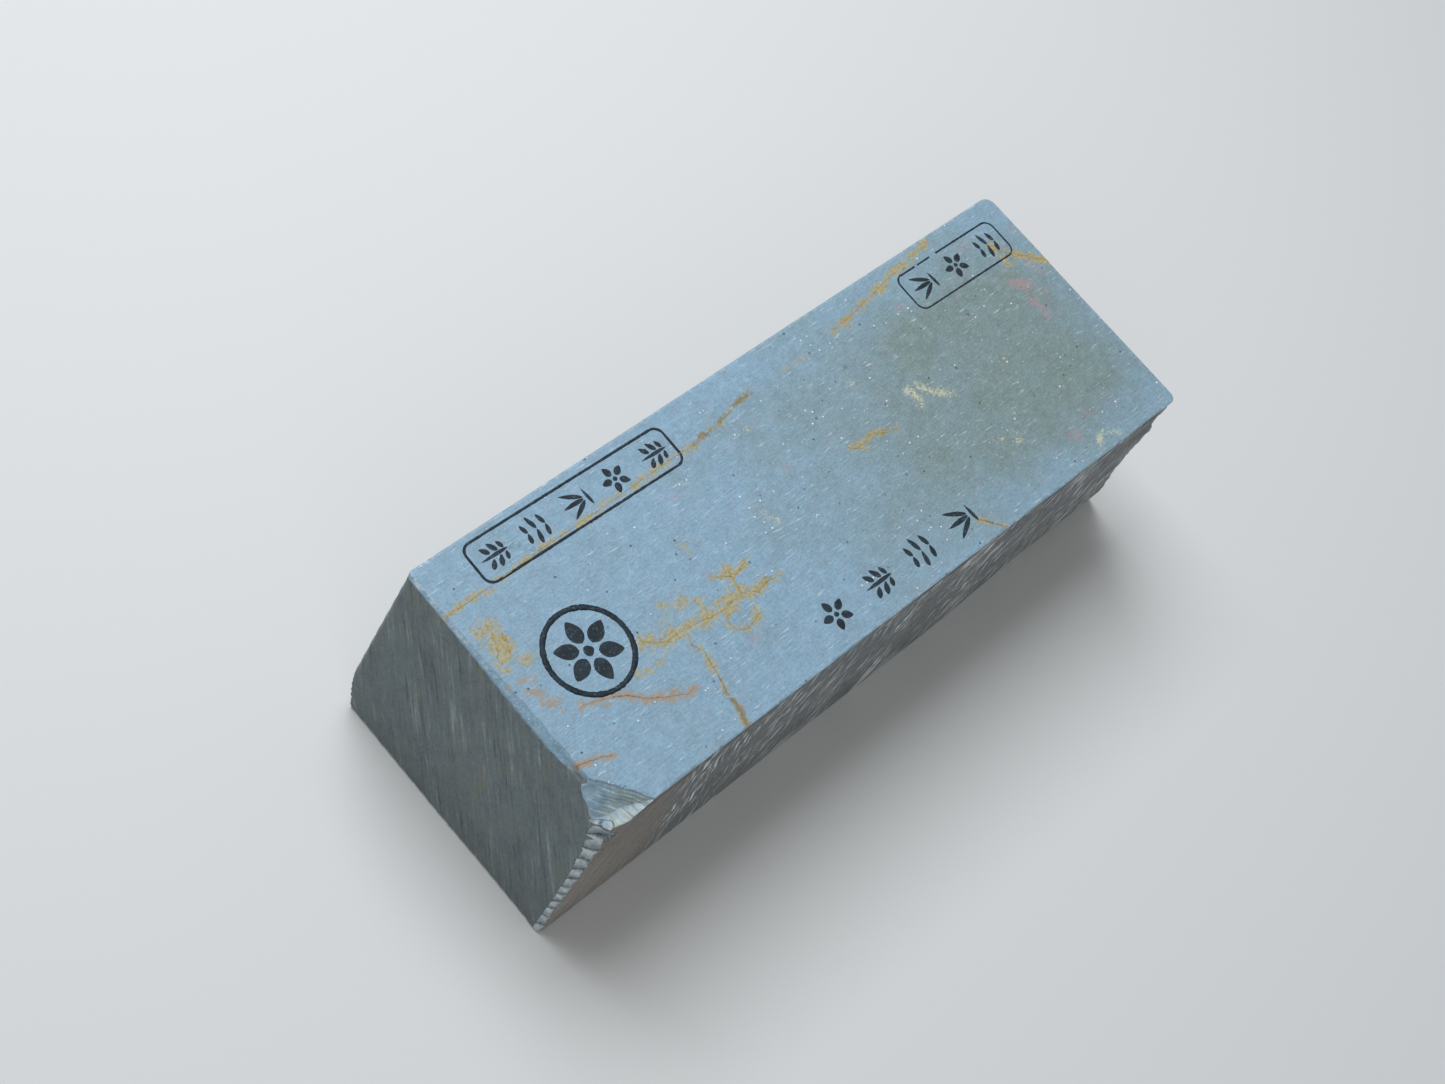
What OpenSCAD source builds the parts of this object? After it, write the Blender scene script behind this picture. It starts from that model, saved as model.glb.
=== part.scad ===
// Natural sharpening stone: one sawn block of fine layered slate with a broken near corner,
// mineral veins that fill cracks in its honing face, and ink ornaments soaked into that face.
// Frame: origin under the middle of the block on the surface it stands on, +X along the
// length towards the far end, +Y towards the straight long side, +Z up to the honing face.

/* [Block] */
// Length of the honing face
top_length = 205; // [150:1:260]
// Width of the honing face
top_width = 75; // [55:1:100]
// Height of the block
height = 60; // [40:1:80]
// How far the near end runs outwards at its foot
near_lean = 6; // [1:0.5:12]
// How far the far end runs outwards at its foot
far_lean = 4; // [1:0.5:12]
// How far the broken long side runs outwards at its foot
side_lean = 1.2; // [0.5:0.1:4]
// Worn chamfer along every sawn edge
edge_wear = 0.7; // [0.3:0.1:1.5]
// Radius of the near upright edge on the straight side
near_corner_r = 2; // [1:0.5:5]
// Radius of the far upright edge on the straight side
far_corner_r = 3; // [1:0.5:5]
// How far the foot of the near corner is rubbed in
foot_wear = 4; // [1:0.5:6]
// Height up to which the foot of the near corner is rubbed in
foot_wear_height = 12; // [6:1:18]

/* [Broken near corner] */
// Reach of the chip along the near end
chip_width = 16; // [6:0.5:18]
// Reach of the chip along the long side
chip_length = 11; // [6:0.5:18]
// Depth of the chip at its deepest point on the near end
chip_depth = 9.5; // [5:0.5:16]
// Depth of the chip where it meets the upright edge
chip_edge_depth = 5.5; // [3:0.5:10]
// Number of broken ledges below the chip
ledge_count = 9; // [4:1:12]
// Reach of the top ledge along the near end
ledge_reach = 6; // [3:0.5:9]
// Depth of a ledge into the block
ledge_bite = 0.9; // [0.3:0.1:2]

/* [Broken far corner] */
// Radius of the large, shallow scallop
scallop_r = 40; // [30:1:50]
// Depth of the large scallop below the sharp corner
scallop_depth = 2.6; // [2:0.1:4]
// Radius of the small scallop above it
small_scallop_r = 20; // [15:1:25]
// Depth of the small scallop below the sharp corner
small_scallop_depth = 1.9; // [1.5:0.1:2.4]

/* [Veins] */
// How deep the veins run down into the stone
vein_depth = 6; // [2:0.5:12]
// Width of the long straight vein
long_vein_w = 0.7; // [0.4:0.1:1.5]
// Width of the branching vein
branch_vein_w = 1.2; // [0.6:0.1:2]
// Width of the vein that crosses to the broken side
cross_vein_w = 0.8; // [0.4:0.1:1.5]
// Width of the brown band
brown_band_w = 1; // [0.5:0.1:2]
// Width of the small veins
small_vein_w = 0.9; // [0.4:0.1:1.5]

/* [Ink ornaments] */
// How deep the ink has soaked into the face
ink_depth = 0.05; // [0.03:0.01:0.2]
// Length of the long frame
long_frame_length = 63; // [40:1:80]
// Length of the short frame
short_frame_length = 37.5; // [25:0.5:50]
// Width of both frames
frame_width = 12; // [8:0.5:16]
// Corner radius of both frames
frame_r = 2.5; // [1:0.5:4]
// Thickness of a frame's line
frame_line = 0.7; // [0.3:0.05:1]
// Outer radius of the ring
ring_r = 11.7; // [8:0.1:15]
// Thickness of the ring's line
ring_line = 1.45; // [0.6:0.1:2.5]
// Size of one ornament in a frame
motif_size = 8; // [5:0.5:9]
// Size of one ornament in the open row
row_motif_size = 9; // [6:0.5:11]

/* [Hidden] */

$fn = 48;
// Small overlap by which cutters pass through a face
eps = 1;
// Thickness of the discs that the block's outline is stretched over
skin = 0.01;

// The honing face: its middle in the frame of the whole block, and its edges
top_cx = (near_lean - far_lean) / 2;
top_cy = side_lean / 2;
x_near = top_cx - top_length / 2;
x_far = top_cx + top_length / 2;
y_straight = top_cy + top_width / 2;
y_broken = top_cy - top_width / 2;

// Routes of veins are drawn on a face of this size and follow the real one
drawn_length = 205;
drawn_width = 75;
function on_top(p) = [top_cx + p[0] * top_length / drawn_length,
                      top_cy + p[1] * top_width / drawn_width];

// Middle of the ends and sides at a height z, measured from the foot
function near_x(z) = x_near - near_lean * (1 - z / height);
function far_x(z) = x_far + far_lean * (1 - z / height);
function broken_y(z) = y_broken - side_lean * (1 - z / height);

// ---------------------------------------------------------------- stone

module post(x, y, z, r) {
    translate([x, y, z]) cylinder(h = skin, r = r);
}

// One outline of the block at height z, drawn in by `inset` from its faces
module outline(z, inset, near_straight_inset) {
    r_n = near_corner_r;
    r_f = far_corner_r;
    ys = y_straight - inset;
    yb = broken_y(z) + inset;
    xn = near_x(z) + inset;
    xf = far_x(z) - inset;
    post(xn + r_n, ys - r_n - near_straight_inset, z, r_n);
    post(xf - r_f, ys - r_f, z, r_f);
    post(xf - edge_wear, yb + edge_wear, z, edge_wear);
    post(xn + r_n, yb + r_n, z, r_n);
}

module sawn_block() {
    hull() {
        outline(0, edge_wear, foot_wear);
        outline(edge_wear, 0, foot_wear * 0.8);
        outline(foot_wear_height / 2, 0, foot_wear * 0.25);
        outline(foot_wear_height, 0, 0);
        outline(height - edge_wear - skin, 0, 0);
        outline(height - skin, edge_wear, 0);
    }
}

// The chip takes the corner off above a surface through four points on the block's faces
module chip() {
    z_up = height + eps;
    z_deep = height - chip_depth;
    z_edge = height - chip_edge_depth;
    p_end = [near_x(height), y_broken + chip_width];
    p_side = [x_near + chip_length, y_broken];
    p_low = [near_x(z_deep), y_broken + ledge_reach];
    out = 4;
    hull() {
        translate([p_end[0] - out, p_end[1] + 0.3 * out, z_up]) cube(skin);
        translate([p_side[0] + 0.3 * out, p_side[1] - out, z_up]) cube(skin);
        translate([x_near - out, y_broken - out, z_up]) cube(skin);
        translate([p_end[0], p_end[1], height]) cube(skin);
        translate([p_side[0], p_side[1], height]) cube(skin);
        translate([p_low[0] - out, p_low[1], z_deep]) cube(skin);
        translate([p_low[0], p_low[1], z_deep]) cube(skin);
        translate([near_x(z_edge) - out, y_broken - out, z_edge]) cube(skin);
    }
}

// Below the chip the upright edge has broken away in short ledges that get smaller
module ledges() {
    z_top = height - chip_edge_depth;
    z_low = 4;
    pitch = (z_top - z_low) / ledge_count;
    for (i = [0:ledge_count - 1]) {
        z = z_top - (i + 1) * pitch;
        share = 1 - 0.65 * i / ledge_count;
        reach = ledge_reach * share;
        bite = ledge_bite * (0.6 + 0.4 * cos(140 * i));
        translate([near_x(z), broken_y(z), z])
            rotate([-24, 0, 0])
                linear_extrude(pitch * 0.82)
                    polygon([[-3, -4], [-3, reach], [0.2, reach], [bite, 0], [bite * 0.6, -4]]);
    }
}

// a sphere whose nearest point lies depth inside the far broken corner at height z
module scallop(r, depth, z) {
    away = r - depth;
    translate([far_x(z) + 0.64 * away, broken_y(z) - 0.77 * away, z]) sphere(r = r);
}

module scallops() {
    scallop(scallop_r, scallop_depth, height / 2);
    scallop(small_scallop_r, small_scallop_depth, height - 8);
}

module broken_block() {
    difference() {
        sawn_block();
        chip();
        ledges();
        scallops();
    }
}

// ---------------------------------------------------------------- veins

function heading(a, b) = atan2(b[1] - a[1], b[0] - a[0]);
// Direction across a route at point i: across the bend of the two legs that meet there
function across(route, i) =
    let(n = len(route) - 1,
        d1 = route[min(i + 1, n)] - route[i == n ? n - 1 : i],
        d0 = route[i] - route[max(i - 1, 0)],
        d = i == 0 ? d1 : i == n ? d0 : d0 / norm(d0) + d1 / norm(d1))
    [-d[1], d[0]] / norm(d);
// A vein is widest in its middle and runs out to a third of its width at both ends
function vein_half(w, i, n) = w / 2 * (i == 0 || i == n ? 0.35 : 1);
function ribbon(route, w) =
    let(pts = [for (p = route) on_top(p)],
        n = len(pts) - 1)
    concat([for (i = [0:n]) pts[i] + across(pts, i) * vein_half(w, i, n)],
           [for (i = [n:-1:0]) pts[i] - across(pts, i) * vein_half(w, i, n)]);

module vein_sheet(route, w) {
    translate([0, 0, height - vein_depth])
        linear_extrude(vein_depth + eps) polygon(ribbon(route, w));
}

long_route = [[-106, 23.8], [-92, 23.9], [-70, 24.7], [-50, 24.8], [-33, 25.3], [-21, 25.2],
              [-8, 26.9], [1, 28.5], [12, 28.4], [22, 28.3], [33, 29.5], [50, 32], [60, 33.7], [75, 36]];
branch_main = [[-68.5, -6.4], [-63, -10.3], [-55, -10.4], [-47, -12], [-42, -11.3], [-37, -12]];
branch_up = [[-39.2, -11.8], [-38.3, -8], [-37.3, -4]];
branch_arm = [[-38.6, -7.6], [-35, -6.2], [-32, -5.6]];
branch_left_arm = [[-37.8, -6.8], [-40, -5.2], [-42.5, -3.9]];
branch_hook = [[-45, -11.4], [-46.5, -14], [-47.2, -16.5], [-45, -18.8], [-41.5, -18.6], [-38.5, -16.7]];
branch_right = [[-38.4, -11.4], [-35, -13.4], [-32, -12.4], [-27, -13.3]];
cross_route = [[-57, -11.2], [-58.6, -14], [-57, -17], [-58, -21.6], [-59.5, -28], [-60, -33], [-61.5, -40]];
band_route = [[-91, -10.8], [-87, -11.8], [-83, -13.2], [-79.5, -15.2], [-77, -18], [-74, -19.6],
              [-70.5, -21.6], [-67.5, -22.9], [-65, -22.6]];
corner_route = [[-106, -20.5], [-99, -21.6], [-96.5, -22.3], [-94, -23.3], [-92.5, -24.1]];
centre_route = [[12, 2.7], [14, 1.4], [17, 1.2], [20, 2], [23, 1], [25.5, 0], [28, -0.3]];
far_route = [[91, 25.5], [92, 22.6], [94, 21.1], [98, 17.2], [101, 14.7], [108, 9]];
side_edge_route = [[27, -31], [29, -33], [31, -35.5], [34, -41]];
patch_outline = [[-99, 8], [-96, 6.5], [-93.5, 8], [-92.2, 11], [-93, 14.5], [-95.5, 16.3],
                 [-98.4, 15], [-100, 11.5]];
patch_depth = 1.5;

module long_sheet() { vein_sheet(long_route, long_vein_w); }
module branch_sheet() {
    vein_sheet(branch_main, branch_vein_w);
    vein_sheet(branch_up, branch_vein_w * 0.7);
    vein_sheet(branch_arm, branch_vein_w * 0.7);
    vein_sheet(branch_left_arm, branch_vein_w * 0.7);
    vein_sheet(branch_hook, branch_vein_w * 0.6);
    vein_sheet(branch_right, branch_vein_w * 0.7);
}
module cross_sheet() {
    difference() {
        vein_sheet(cross_route, cross_vein_w);
        branch_sheet();
    }
}
module band_sheet() { vein_sheet(band_route, brown_band_w); }
module corner_sheet() { vein_sheet(corner_route, small_vein_w); }
module centre_sheet() { vein_sheet(centre_route, small_vein_w); }
module far_sheet() { vein_sheet(far_route, small_vein_w); }
module side_edge_sheet() { vein_sheet(side_edge_route, small_vein_w); }
module patch_slab() {
    translate([0, 0, height - patch_depth])
        linear_extrude(patch_depth + eps) polygon([for (p = patch_outline) on_top(p)]);
}

// A vein is the part of its sheet that lies in the block, and fills its slot face to face;
// where ink crosses it, the ink has soaked into it too
module in_block() {
    difference() {
        intersection() {
            broken_block();
            children();
        }
        ink_beds();
    }
}

module stone_block() {
    color("lightsteelblue")
        difference() {
            broken_block();
            long_sheet();
            branch_sheet();
            cross_sheet();
            band_sheet();
            corner_sheet();
            centre_sheet();
            far_sheet();
            side_edge_sheet();
            patch_slab();
            ink_beds();
        }
}
module long_vein() { color("darkgoldenrod") in_block() long_sheet(); }
module branching_vein() { color("goldenrod") in_block() branch_sheet(); }
module cross_vein() { color("peru") in_block() cross_sheet(); }
module brown_band_vein() { color("rosybrown") in_block() band_sheet(); }
module corner_vein() { color("sandybrown") in_block() corner_sheet(); }
module centre_vein() { color("burlywood") in_block() centre_sheet(); }
module far_end_vein() { color("darkgoldenrod") in_block() far_sheet(); }
module side_edge_vein() { color("peru") in_block() side_edge_sheet(); }
module near_end_patch() { color("khaki") in_block() patch_slab(); }

// ---------------------------------------------------------------- ink ornaments

module ink() {
    translate([0, 0, height - ink_depth]) color("darkslategray") linear_extrude(ink_depth) children();
}
module place(x, y, turn) {
    c = on_top([x, y]);
    translate([c[0], c[1]]) rotate(turn) children();
}

// Brush-made leaf: a lens of two arcs, length l along X, greatest width w
module leaf(l, w) {
    r = (l * l + w * w) / (4 * w);
    intersection() {
        translate([0, r - w / 2]) circle(r = r, $fn = 96);
        translate([0, w / 2 - r]) circle(r = r, $fn = 96);
    }
}
module leaf_at(x, y, turn, l, w) {
    translate([x, y]) rotate(turn) leaf(l, w);
}

// Ornaments of size 1: a twig with paired leaves, a fan of reeds, a plum blossom, three ripples
module twig() {
    leaf_at(0, 0, 90, 1, 0.12);
    for (s = [-1, 1]) {
        leaf_at(s * 0.24, 0.2, s * 38, 0.36, 0.17);
        leaf_at(s * 0.25, -0.08, s * 30, 0.4, 0.17);
        leaf_at(s * 0.2, -0.34, s * 20, 0.3, 0.14);
    }
}
module reeds() {
    for (a = [60, 90, 120]) {
        leaf_at(0.5 * cos(a), -0.42 + 0.5 * sin(a), a, 0.78, 0.15);
    }
    leaf_at(0, -0.46, 4, 0.62, 0.11);
}
module blossom(petals) {
    for (i = [0:petals - 1]) {
        rotate(90 + 360 / petals * i) leaf_at(0.31, 0, 0, 0.36, 0.23);
    }
    circle(r = 0.08);
}
module ripple(y, l) {
    for (s = [-1, 1]) {
        leaf_at(s * l / 4, y, s * 14, l * 0.5, 0.15);
    }
}
module ripples() {
    ripple(0.34, 0.7);
    ripple(0.02, 1);
    ripple(-0.32, 0.8);
}
module motif(kind) {
    if (kind == 0) twig();
    if (kind == 1) reeds();
    if (kind == 2) blossom(5);
    if (kind == 3) ripples();
}

function arc(cx, cy, r, a0) = [for (i = [0:6]) [cx + r * cos(a0 + 15 * i), cy + r * sin(a0 + 15 * i)]];
function round_rect(l, w, r) = concat(
    arc(l / 2 - r, w / 2 - r, r, 0), arc(-l / 2 + r, w / 2 - r, r, 90),
    arc(-l / 2 + r, -w / 2 + r, r, 180), arc(l / 2 - r, -w / 2 + r, r, 270));

// A frame's line; gaps are where the stamp did not take, as [place along the top line, length]
module frame_line_shape(l, line, gaps) {
    difference() {
        polygon(round_rect(l, frame_width, frame_r));
        polygon(round_rect(l - 2 * line, frame_width - 2 * line, frame_r - line));
        for (g = gaps) {
            translate([g[0] - g[1] / 2, frame_width / 2 - 2 * line]) square([g[1], 3 * line]);
        }
    }
}
// A row of ornaments, evenly spaced along l, each turned to lie across the row
module motif_row(kinds, l, size) {
    pitch = l / len(kinds);
    for (i = [0:len(kinds) - 1]) {
        translate([-l / 2 + pitch * (i + 0.5), 0]) rotate(90) scale(size) motif(kinds[i]);
    }
}

long_frame_at = [-57.2, 29.2, -1];
short_frame_at = [77.6, 26.3, -0.6];
ring_at = [-79.9, -1.4, 0];
row_at = [0, -28.8, 0];
row_length = 61;
ring_blossom_share = 0.86;

module in_frame(at) { place(at[0], at[1], at[2]) children(); }

module long_frame_line_shape() {
    in_frame(long_frame_at) frame_line_shape(long_frame_length, frame_line, []);
}
module long_frame_sprigs_shape() {
    in_frame(long_frame_at) motif_row([0, 3, 1, 2, 0], long_frame_length, motif_size);
}
module short_frame_line_shape() {
    in_frame(short_frame_at)
        frame_line_shape(short_frame_length, frame_line * 0.75, [[-10.2, 1], [-3.6, 2.3]]);
}
module short_frame_sprigs_shape() {
    in_frame(short_frame_at) motif_row([1, 2, 3], short_frame_length, motif_size);
}
module ring_line_shape() {
    in_frame(ring_at)
        difference() {
            circle(r = ring_r, $fn = 96);
            circle(r = ring_r - ring_line, $fn = 96);
        }
}
module ring_blossom_shape() {
    in_frame(ring_at) scale(2 * (ring_r - ring_line) * ring_blossom_share) blossom(6);
}
module row_sprigs_shape() {
    in_frame(row_at) motif_row([2, 0, 3, 1], row_length, row_motif_size);
}
// The shallow beds that the ink fills, open at the top
module ink_beds() {
    translate([0, 0, height - ink_depth])
        linear_extrude(ink_depth + eps) {
            long_frame_line_shape();
            long_frame_sprigs_shape();
            short_frame_line_shape();
            short_frame_sprigs_shape();
            ring_line_shape();
            ring_blossom_shape();
            row_sprigs_shape();
        }
}

module long_frame_line() { ink() long_frame_line_shape(); }
module long_frame_sprigs() { ink() long_frame_sprigs_shape(); }
module short_frame_line() { ink() short_frame_line_shape(); }
module short_frame_sprigs() { ink() short_frame_sprigs_shape(); }
module ring_line() { ink() ring_line_shape(); }
module ring_blossom() { ink() ring_blossom_shape(); }
module row_sprigs() { ink() row_sprigs_shape(); }

stone_block();
long_vein();
branching_vein();
cross_vein();
brown_band_vein();
corner_vein();
centre_vein();
far_end_vein();
side_edge_vein();
near_end_patch();
long_frame_line();
long_frame_sprigs();
short_frame_line();
short_frame_sprigs();
ring_line();
ring_blossom();
row_sprigs();
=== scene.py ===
# %% [markdown]
# # A natural sharpening stone
# A bench stone for blades: one block of blue-grey slate, sawn on its ends, broken along one long
# side, lapped flat on top, with mineral veins and ink ornaments in the top face. This notebook
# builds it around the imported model, which says how big every piece is and where it lies.
# Each cell makes or finishes one thing, and prints what it made.

# %% Load the frame
import math

import bmesh
import bpy
import numpy as np
from mathutils import Matrix, Vector


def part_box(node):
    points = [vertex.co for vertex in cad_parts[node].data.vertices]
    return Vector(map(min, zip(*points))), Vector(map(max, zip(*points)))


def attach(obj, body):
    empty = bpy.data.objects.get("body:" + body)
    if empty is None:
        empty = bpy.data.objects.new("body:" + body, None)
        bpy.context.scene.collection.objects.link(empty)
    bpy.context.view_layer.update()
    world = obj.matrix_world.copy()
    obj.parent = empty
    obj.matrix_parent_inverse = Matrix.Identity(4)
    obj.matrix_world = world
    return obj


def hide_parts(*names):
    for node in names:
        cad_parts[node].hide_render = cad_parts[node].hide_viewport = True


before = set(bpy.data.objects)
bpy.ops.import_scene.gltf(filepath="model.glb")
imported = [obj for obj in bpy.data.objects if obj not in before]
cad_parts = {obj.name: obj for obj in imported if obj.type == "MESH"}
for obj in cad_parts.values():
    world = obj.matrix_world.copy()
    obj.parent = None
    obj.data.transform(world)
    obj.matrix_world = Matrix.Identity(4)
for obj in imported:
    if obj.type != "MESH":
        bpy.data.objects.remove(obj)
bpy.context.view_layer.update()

# %% [markdown]
# ## The camera
# The stone lies free on a surface and is seen from above its near end, with the camera tipped on
# its side, so that the block rises across the frame from left to right. Location, aim, roll and lens
# are all that a still camera needs. `to_track_quat` would leave the roll out, so the three axes of
# the camera are built by hand and put in its matrix.

# %% Camera
MM = 0.001
CAMERA_AT = Vector((-340.0, -97.2, 549.2)) * MM
CAMERA_AIM = Vector((-13.8, 8.1, 30.0)) * MM
CAMERA_ROLL = math.radians(-33.74)
CAMERA_LENS = 61.41

camera = bpy.data.objects.new("camera", bpy.data.cameras.new("camera"))
camera.data.lens = CAMERA_LENS
camera.data.sensor_width = 36.0
camera.data.sensor_fit = "HORIZONTAL"
forward = (CAMERA_AIM - CAMERA_AT).normalized()
level_right = forward.cross(Vector((0, 0, 1))).normalized()
level_up = level_right.cross(forward)
up = level_up * math.cos(CAMERA_ROLL) + level_right * math.sin(CAMERA_ROLL)
right = forward.cross(up)
axes = Matrix((right, up, -forward)).transposed().to_4x4()
camera.matrix_world = Matrix.Translation(CAMERA_AT) @ axes
bpy.context.scene.collection.objects.link(camera)
bpy.context.scene.camera = camera
print("camera", round((CAMERA_AIM - CAMERA_AT).length, 3), "m from its aim")

# %% [markdown]
# ## Measures of the block
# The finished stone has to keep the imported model's size, so its driving measures are read from the
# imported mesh: the highest points outline the honing face, the whole box gives the foot.
# The rest are this stone's own: how each edge is worn and how each corner is broken.

# %% Measures in millimetres
stone_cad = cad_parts["stone_block"]
cad_points = np.array([v.co for v in stone_cad.data.vertices]) / MM
EDGE_WEAR = 0.7
HEIGHT = cad_points[:, 2].max()
face = cad_points[cad_points[:, 2] > HEIGHT - 0.02]
X_NEAR = face[:, 0].min() - EDGE_WEAR
X_FAR = face[:, 0].max() + EDGE_WEAR
Y_STRAIGHT = face[:, 1].max() + EDGE_WEAR
Y_BROKEN = face[:, 1].min() - EDGE_WEAR
NEAR_LEAN = X_NEAR - cad_points[:, 0].min()
FAR_LEAN = cad_points[:, 0].max() - X_FAR
SIDE_LEAN = Y_BROKEN - cad_points[:, 1].min()
FACE_CENTRE = np.array([(X_NEAR + X_FAR) / 2, (Y_BROKEN + Y_STRAIGHT) / 2])
print("face", round(X_FAR - X_NEAR, 1), "x", round(Y_STRAIGHT - Y_BROKEN, 1), "height", round(HEIGHT, 1))
print("leans", round(NEAR_LEAN, 2), round(FAR_LEAN, 2), round(SIDE_LEAN, 2))


def near_x(z):
    return X_NEAR - NEAR_LEAN * (1 - z / HEIGHT)


def far_x(z):
    return X_FAR + FAR_LEAN * (1 - z / HEIGHT)


def broken_y(z):
    return Y_BROKEN - SIDE_LEAN * (1 - z / HEIGHT)


# %% [markdown]
# ## Value noise for mesh work
# Shader noise isn't there for Python, so the mesh needs a noise of its own. Value noise gives each
# corner of a grid a fixed pseudo-random number and blends between them; a few sizes added together
# look like broken rock. It is the same on every run.

# %% Noise
def grid_noise(points, size, seed):
    cells = np.asarray(points) / size
    low = np.floor(cells)
    share = cells - low
    share = share * share * (3 - 2 * share)
    total = 0.0
    for corner in np.ndindex(2, 2, 2):
        c = low + corner
        mixed = c @ np.array([127.1, 311.7, 74.7]) + 53.3 * seed
        value = np.modf(np.abs(np.sin(mixed)) * 43758.5453)[0] * 2 - 1
        weight = np.where(corner, share, 1 - share).prod(axis=1)
        total = total + value * weight
    return total


def rock_noise(points, size, seed, octaves=3):
    return sum(grid_noise(points, size / 2**i, seed + i) / 2**i for i in range(octaves))


def smooth(low, high, value):
    t = np.clip((value - low) / (high - low), 0, 1)
    return t * t * (3 - 2 * t)


def saw(value):
    return value - np.floor(value)


# %% [markdown]
# ## The block as a rule
# A sculptor would take a sawn block and knock pieces off. Here the same thing is a rule: a function
# that is negative inside the stone, zero on its surface and positive outside. Each sawn face is a
# plane, `max` keeps what lies inside all of them, and a break is one more `max` that takes material
# away. Booleans on meshes could do it too, but a rule lets every break be rough and stepped.

# %% Sawn block
def round_join(a, b, r):
    """Two faces that meet in an edge rounded to r."""
    qa, qb = np.maximum(a + r, 0), np.maximum(b + r, 0)
    return np.hypot(qa, qb) + np.minimum(np.maximum(a + r, b + r), 0) - r


NEAR_EDGE_R = {"straight": 1.8, "broken": 1.4}
FAR_EDGE_R = {"straight": 3.0, "broken": 1.4}
FAR_CORNER_R = 2.3
FOOT_RUB, FOOT_RUB_HEIGHT = 4.0, 14.0
FAR_RUB, FAR_RUB_HEIGHT = 2.6, 9.0


def near_slope(p):
    """Above zero outside the slope lapped along the near top edge, wider towards the chip."""
    x, y, z = p.T
    leg = 0.6 + 1.3 * smooth(Y_STRAIGHT, Y_BROKEN + 14, y) + 0.2 * grid_noise(p, 4.0, 3)
    return (near_x(z) - x + z - HEIGHT + leg) / math.sqrt(2)


def sawn_block(p):
    x, y, z = p.T
    near, far = near_x(z) - x, x - far_x(z)
    straight, broken = y - Y_STRAIGHT, broken_y(z) - y
    ends, sides = np.maximum(near, far), np.maximum(straight, broken)
    wavy = grid_noise(p, 9.0, 1)
    broken_far_r = FAR_EDGE_R["broken"] + (FAR_CORNER_R - FAR_EDGE_R["broken"]) * smooth(48, 60, z)
    far_r = np.where(y > 0, FAR_EDGE_R["straight"], broken_far_r)
    near_r = np.where(y > 0, NEAR_EDGE_R["straight"], NEAR_EDGE_R["broken"])
    upright_r = np.where(x > 0, far_r, near_r)
    body = round_join(ends, sides, upright_r)
    rim_r = np.where(z > HEIGHT / 2, 0.55 + 0.25 * wavy, 1.0 + 0.2 * wavy)
    body = round_join(body, np.maximum(z - HEIGHT, -z), np.clip(rim_r, 0.2, 3))
    body = np.maximum(body, near_slope(p))
    # the foot of the straight side is rubbed off, most at the near corner
    rub = FOOT_RUB * (1 - (x - X_NEAR) / (X_FAR - X_NEAR))
    body = np.maximum(body, (straight + rub * np.clip(1 - z / FOOT_RUB_HEIGHT, 0, 1) ** 1.4) * 0.95)
    # the foot of the broken side is rubbed off towards the far end
    far_rub = FAR_RUB * smooth(30, 100, x) * np.clip(1 - z / FAR_RUB_HEIGHT, 0, 1) ** 1.5
    return np.maximum(body, (broken + far_rub) * 0.93)


# %% [markdown]
# ## Breaks
# Fine slate breaks in shells and short ledges. The near corner lost a shell down to a slanting
# valley, and below it the upright edge went in a ladder of ledges whose treads rise towards the
# broken side. The far corner lost two shallow scoops. The broken side is rough all over.

# %% Chip, ledges, scoops
CHIP_END, CHIP_SIDE, CHIP_LOW, CHIP_EDGE = 16.0, 11.2, 9.5, 5.5
LEDGE_PITCH = 5.6
# each scoop: radius, depth behind the sharp corner, height of its middle
SCOOPS = ((40.0, 2.6, HEIGHT / 2), (20.0, 1.9, HEIGHT - 8))


def plane_through(a, b, c, towards):
    n = np.cross(b - a, c - a)
    n = n / np.linalg.norm(n)
    return (n if n @ (towards - a) > 0 else -n), a


corner = np.array([X_NEAR, Y_BROKEN, HEIGHT])
on_end = corner + [0, CHIP_END, 0]
on_side = corner + [CHIP_SIDE, 0, 0]
valley = np.array([near_x(HEIGHT - CHIP_LOW), Y_BROKEN + 6.2, HEIGHT - CHIP_LOW])
on_edge = np.array([near_x(HEIGHT - CHIP_EDGE), Y_BROKEN, HEIGHT - CHIP_EDGE])
shell = plane_through(on_end, on_side, valley, corner)
tread = plane_through(on_side, valley, on_edge, corner + [0, 0, 5])


def on_shell(p):
    """Place on the shell: the share along its upper edge, and mm inwards from that edge."""
    edge = on_side - on_end
    inwards = np.cross(shell[0], edge)
    inwards = inwards / np.linalg.norm(inwards)
    inwards = inwards * np.sign((valley - on_end) @ inwards)
    return (p - on_end) @ edge / (edge @ edge), (p - on_end) @ inwards


def chip(p):
    """Above zero where the shell came off the near corner."""
    x, y, z = p.T
    along, inwards = on_shell(p)
    layers = saw((inwards + 0.5 * grid_noise(p, 3.0, 21)) / 1.9) * smooth(0.25, 0.5, along)
    rough = 0.45 * layers + 0.25 * grid_noise(p, 1.6, 22) + 0.4 * grid_noise(p, 5.0, 23)
    above_shell = (p - shell[1]) @ shell[0] + rough
    above_tread = (p - tread[1]) @ tread[0] + 0.35 * grid_noise(p, 2.5, 24)
    return np.minimum(above_shell, above_tread)


def ledge_rung(p):
    """Which ledge a point is on: whole numbers are the lips, and the treads rise to the side."""
    from_side = p[:, 1] - broken_y(p[:, 2])
    crowd = p[:, 2] - 9.0 * smooth(35, 0, p[:, 2])
    uneven = 1.0 * grid_noise(p, 6.0, 31) + 1.2 * smooth(22, 8, p[:, 2]) * grid_noise(p, 2.2, 32)
    return (crowd + 0.85 * from_side + uneven) / LEDGE_PITCH


def ledge_phase(p):
    return saw(ledge_rung(p))


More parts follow.
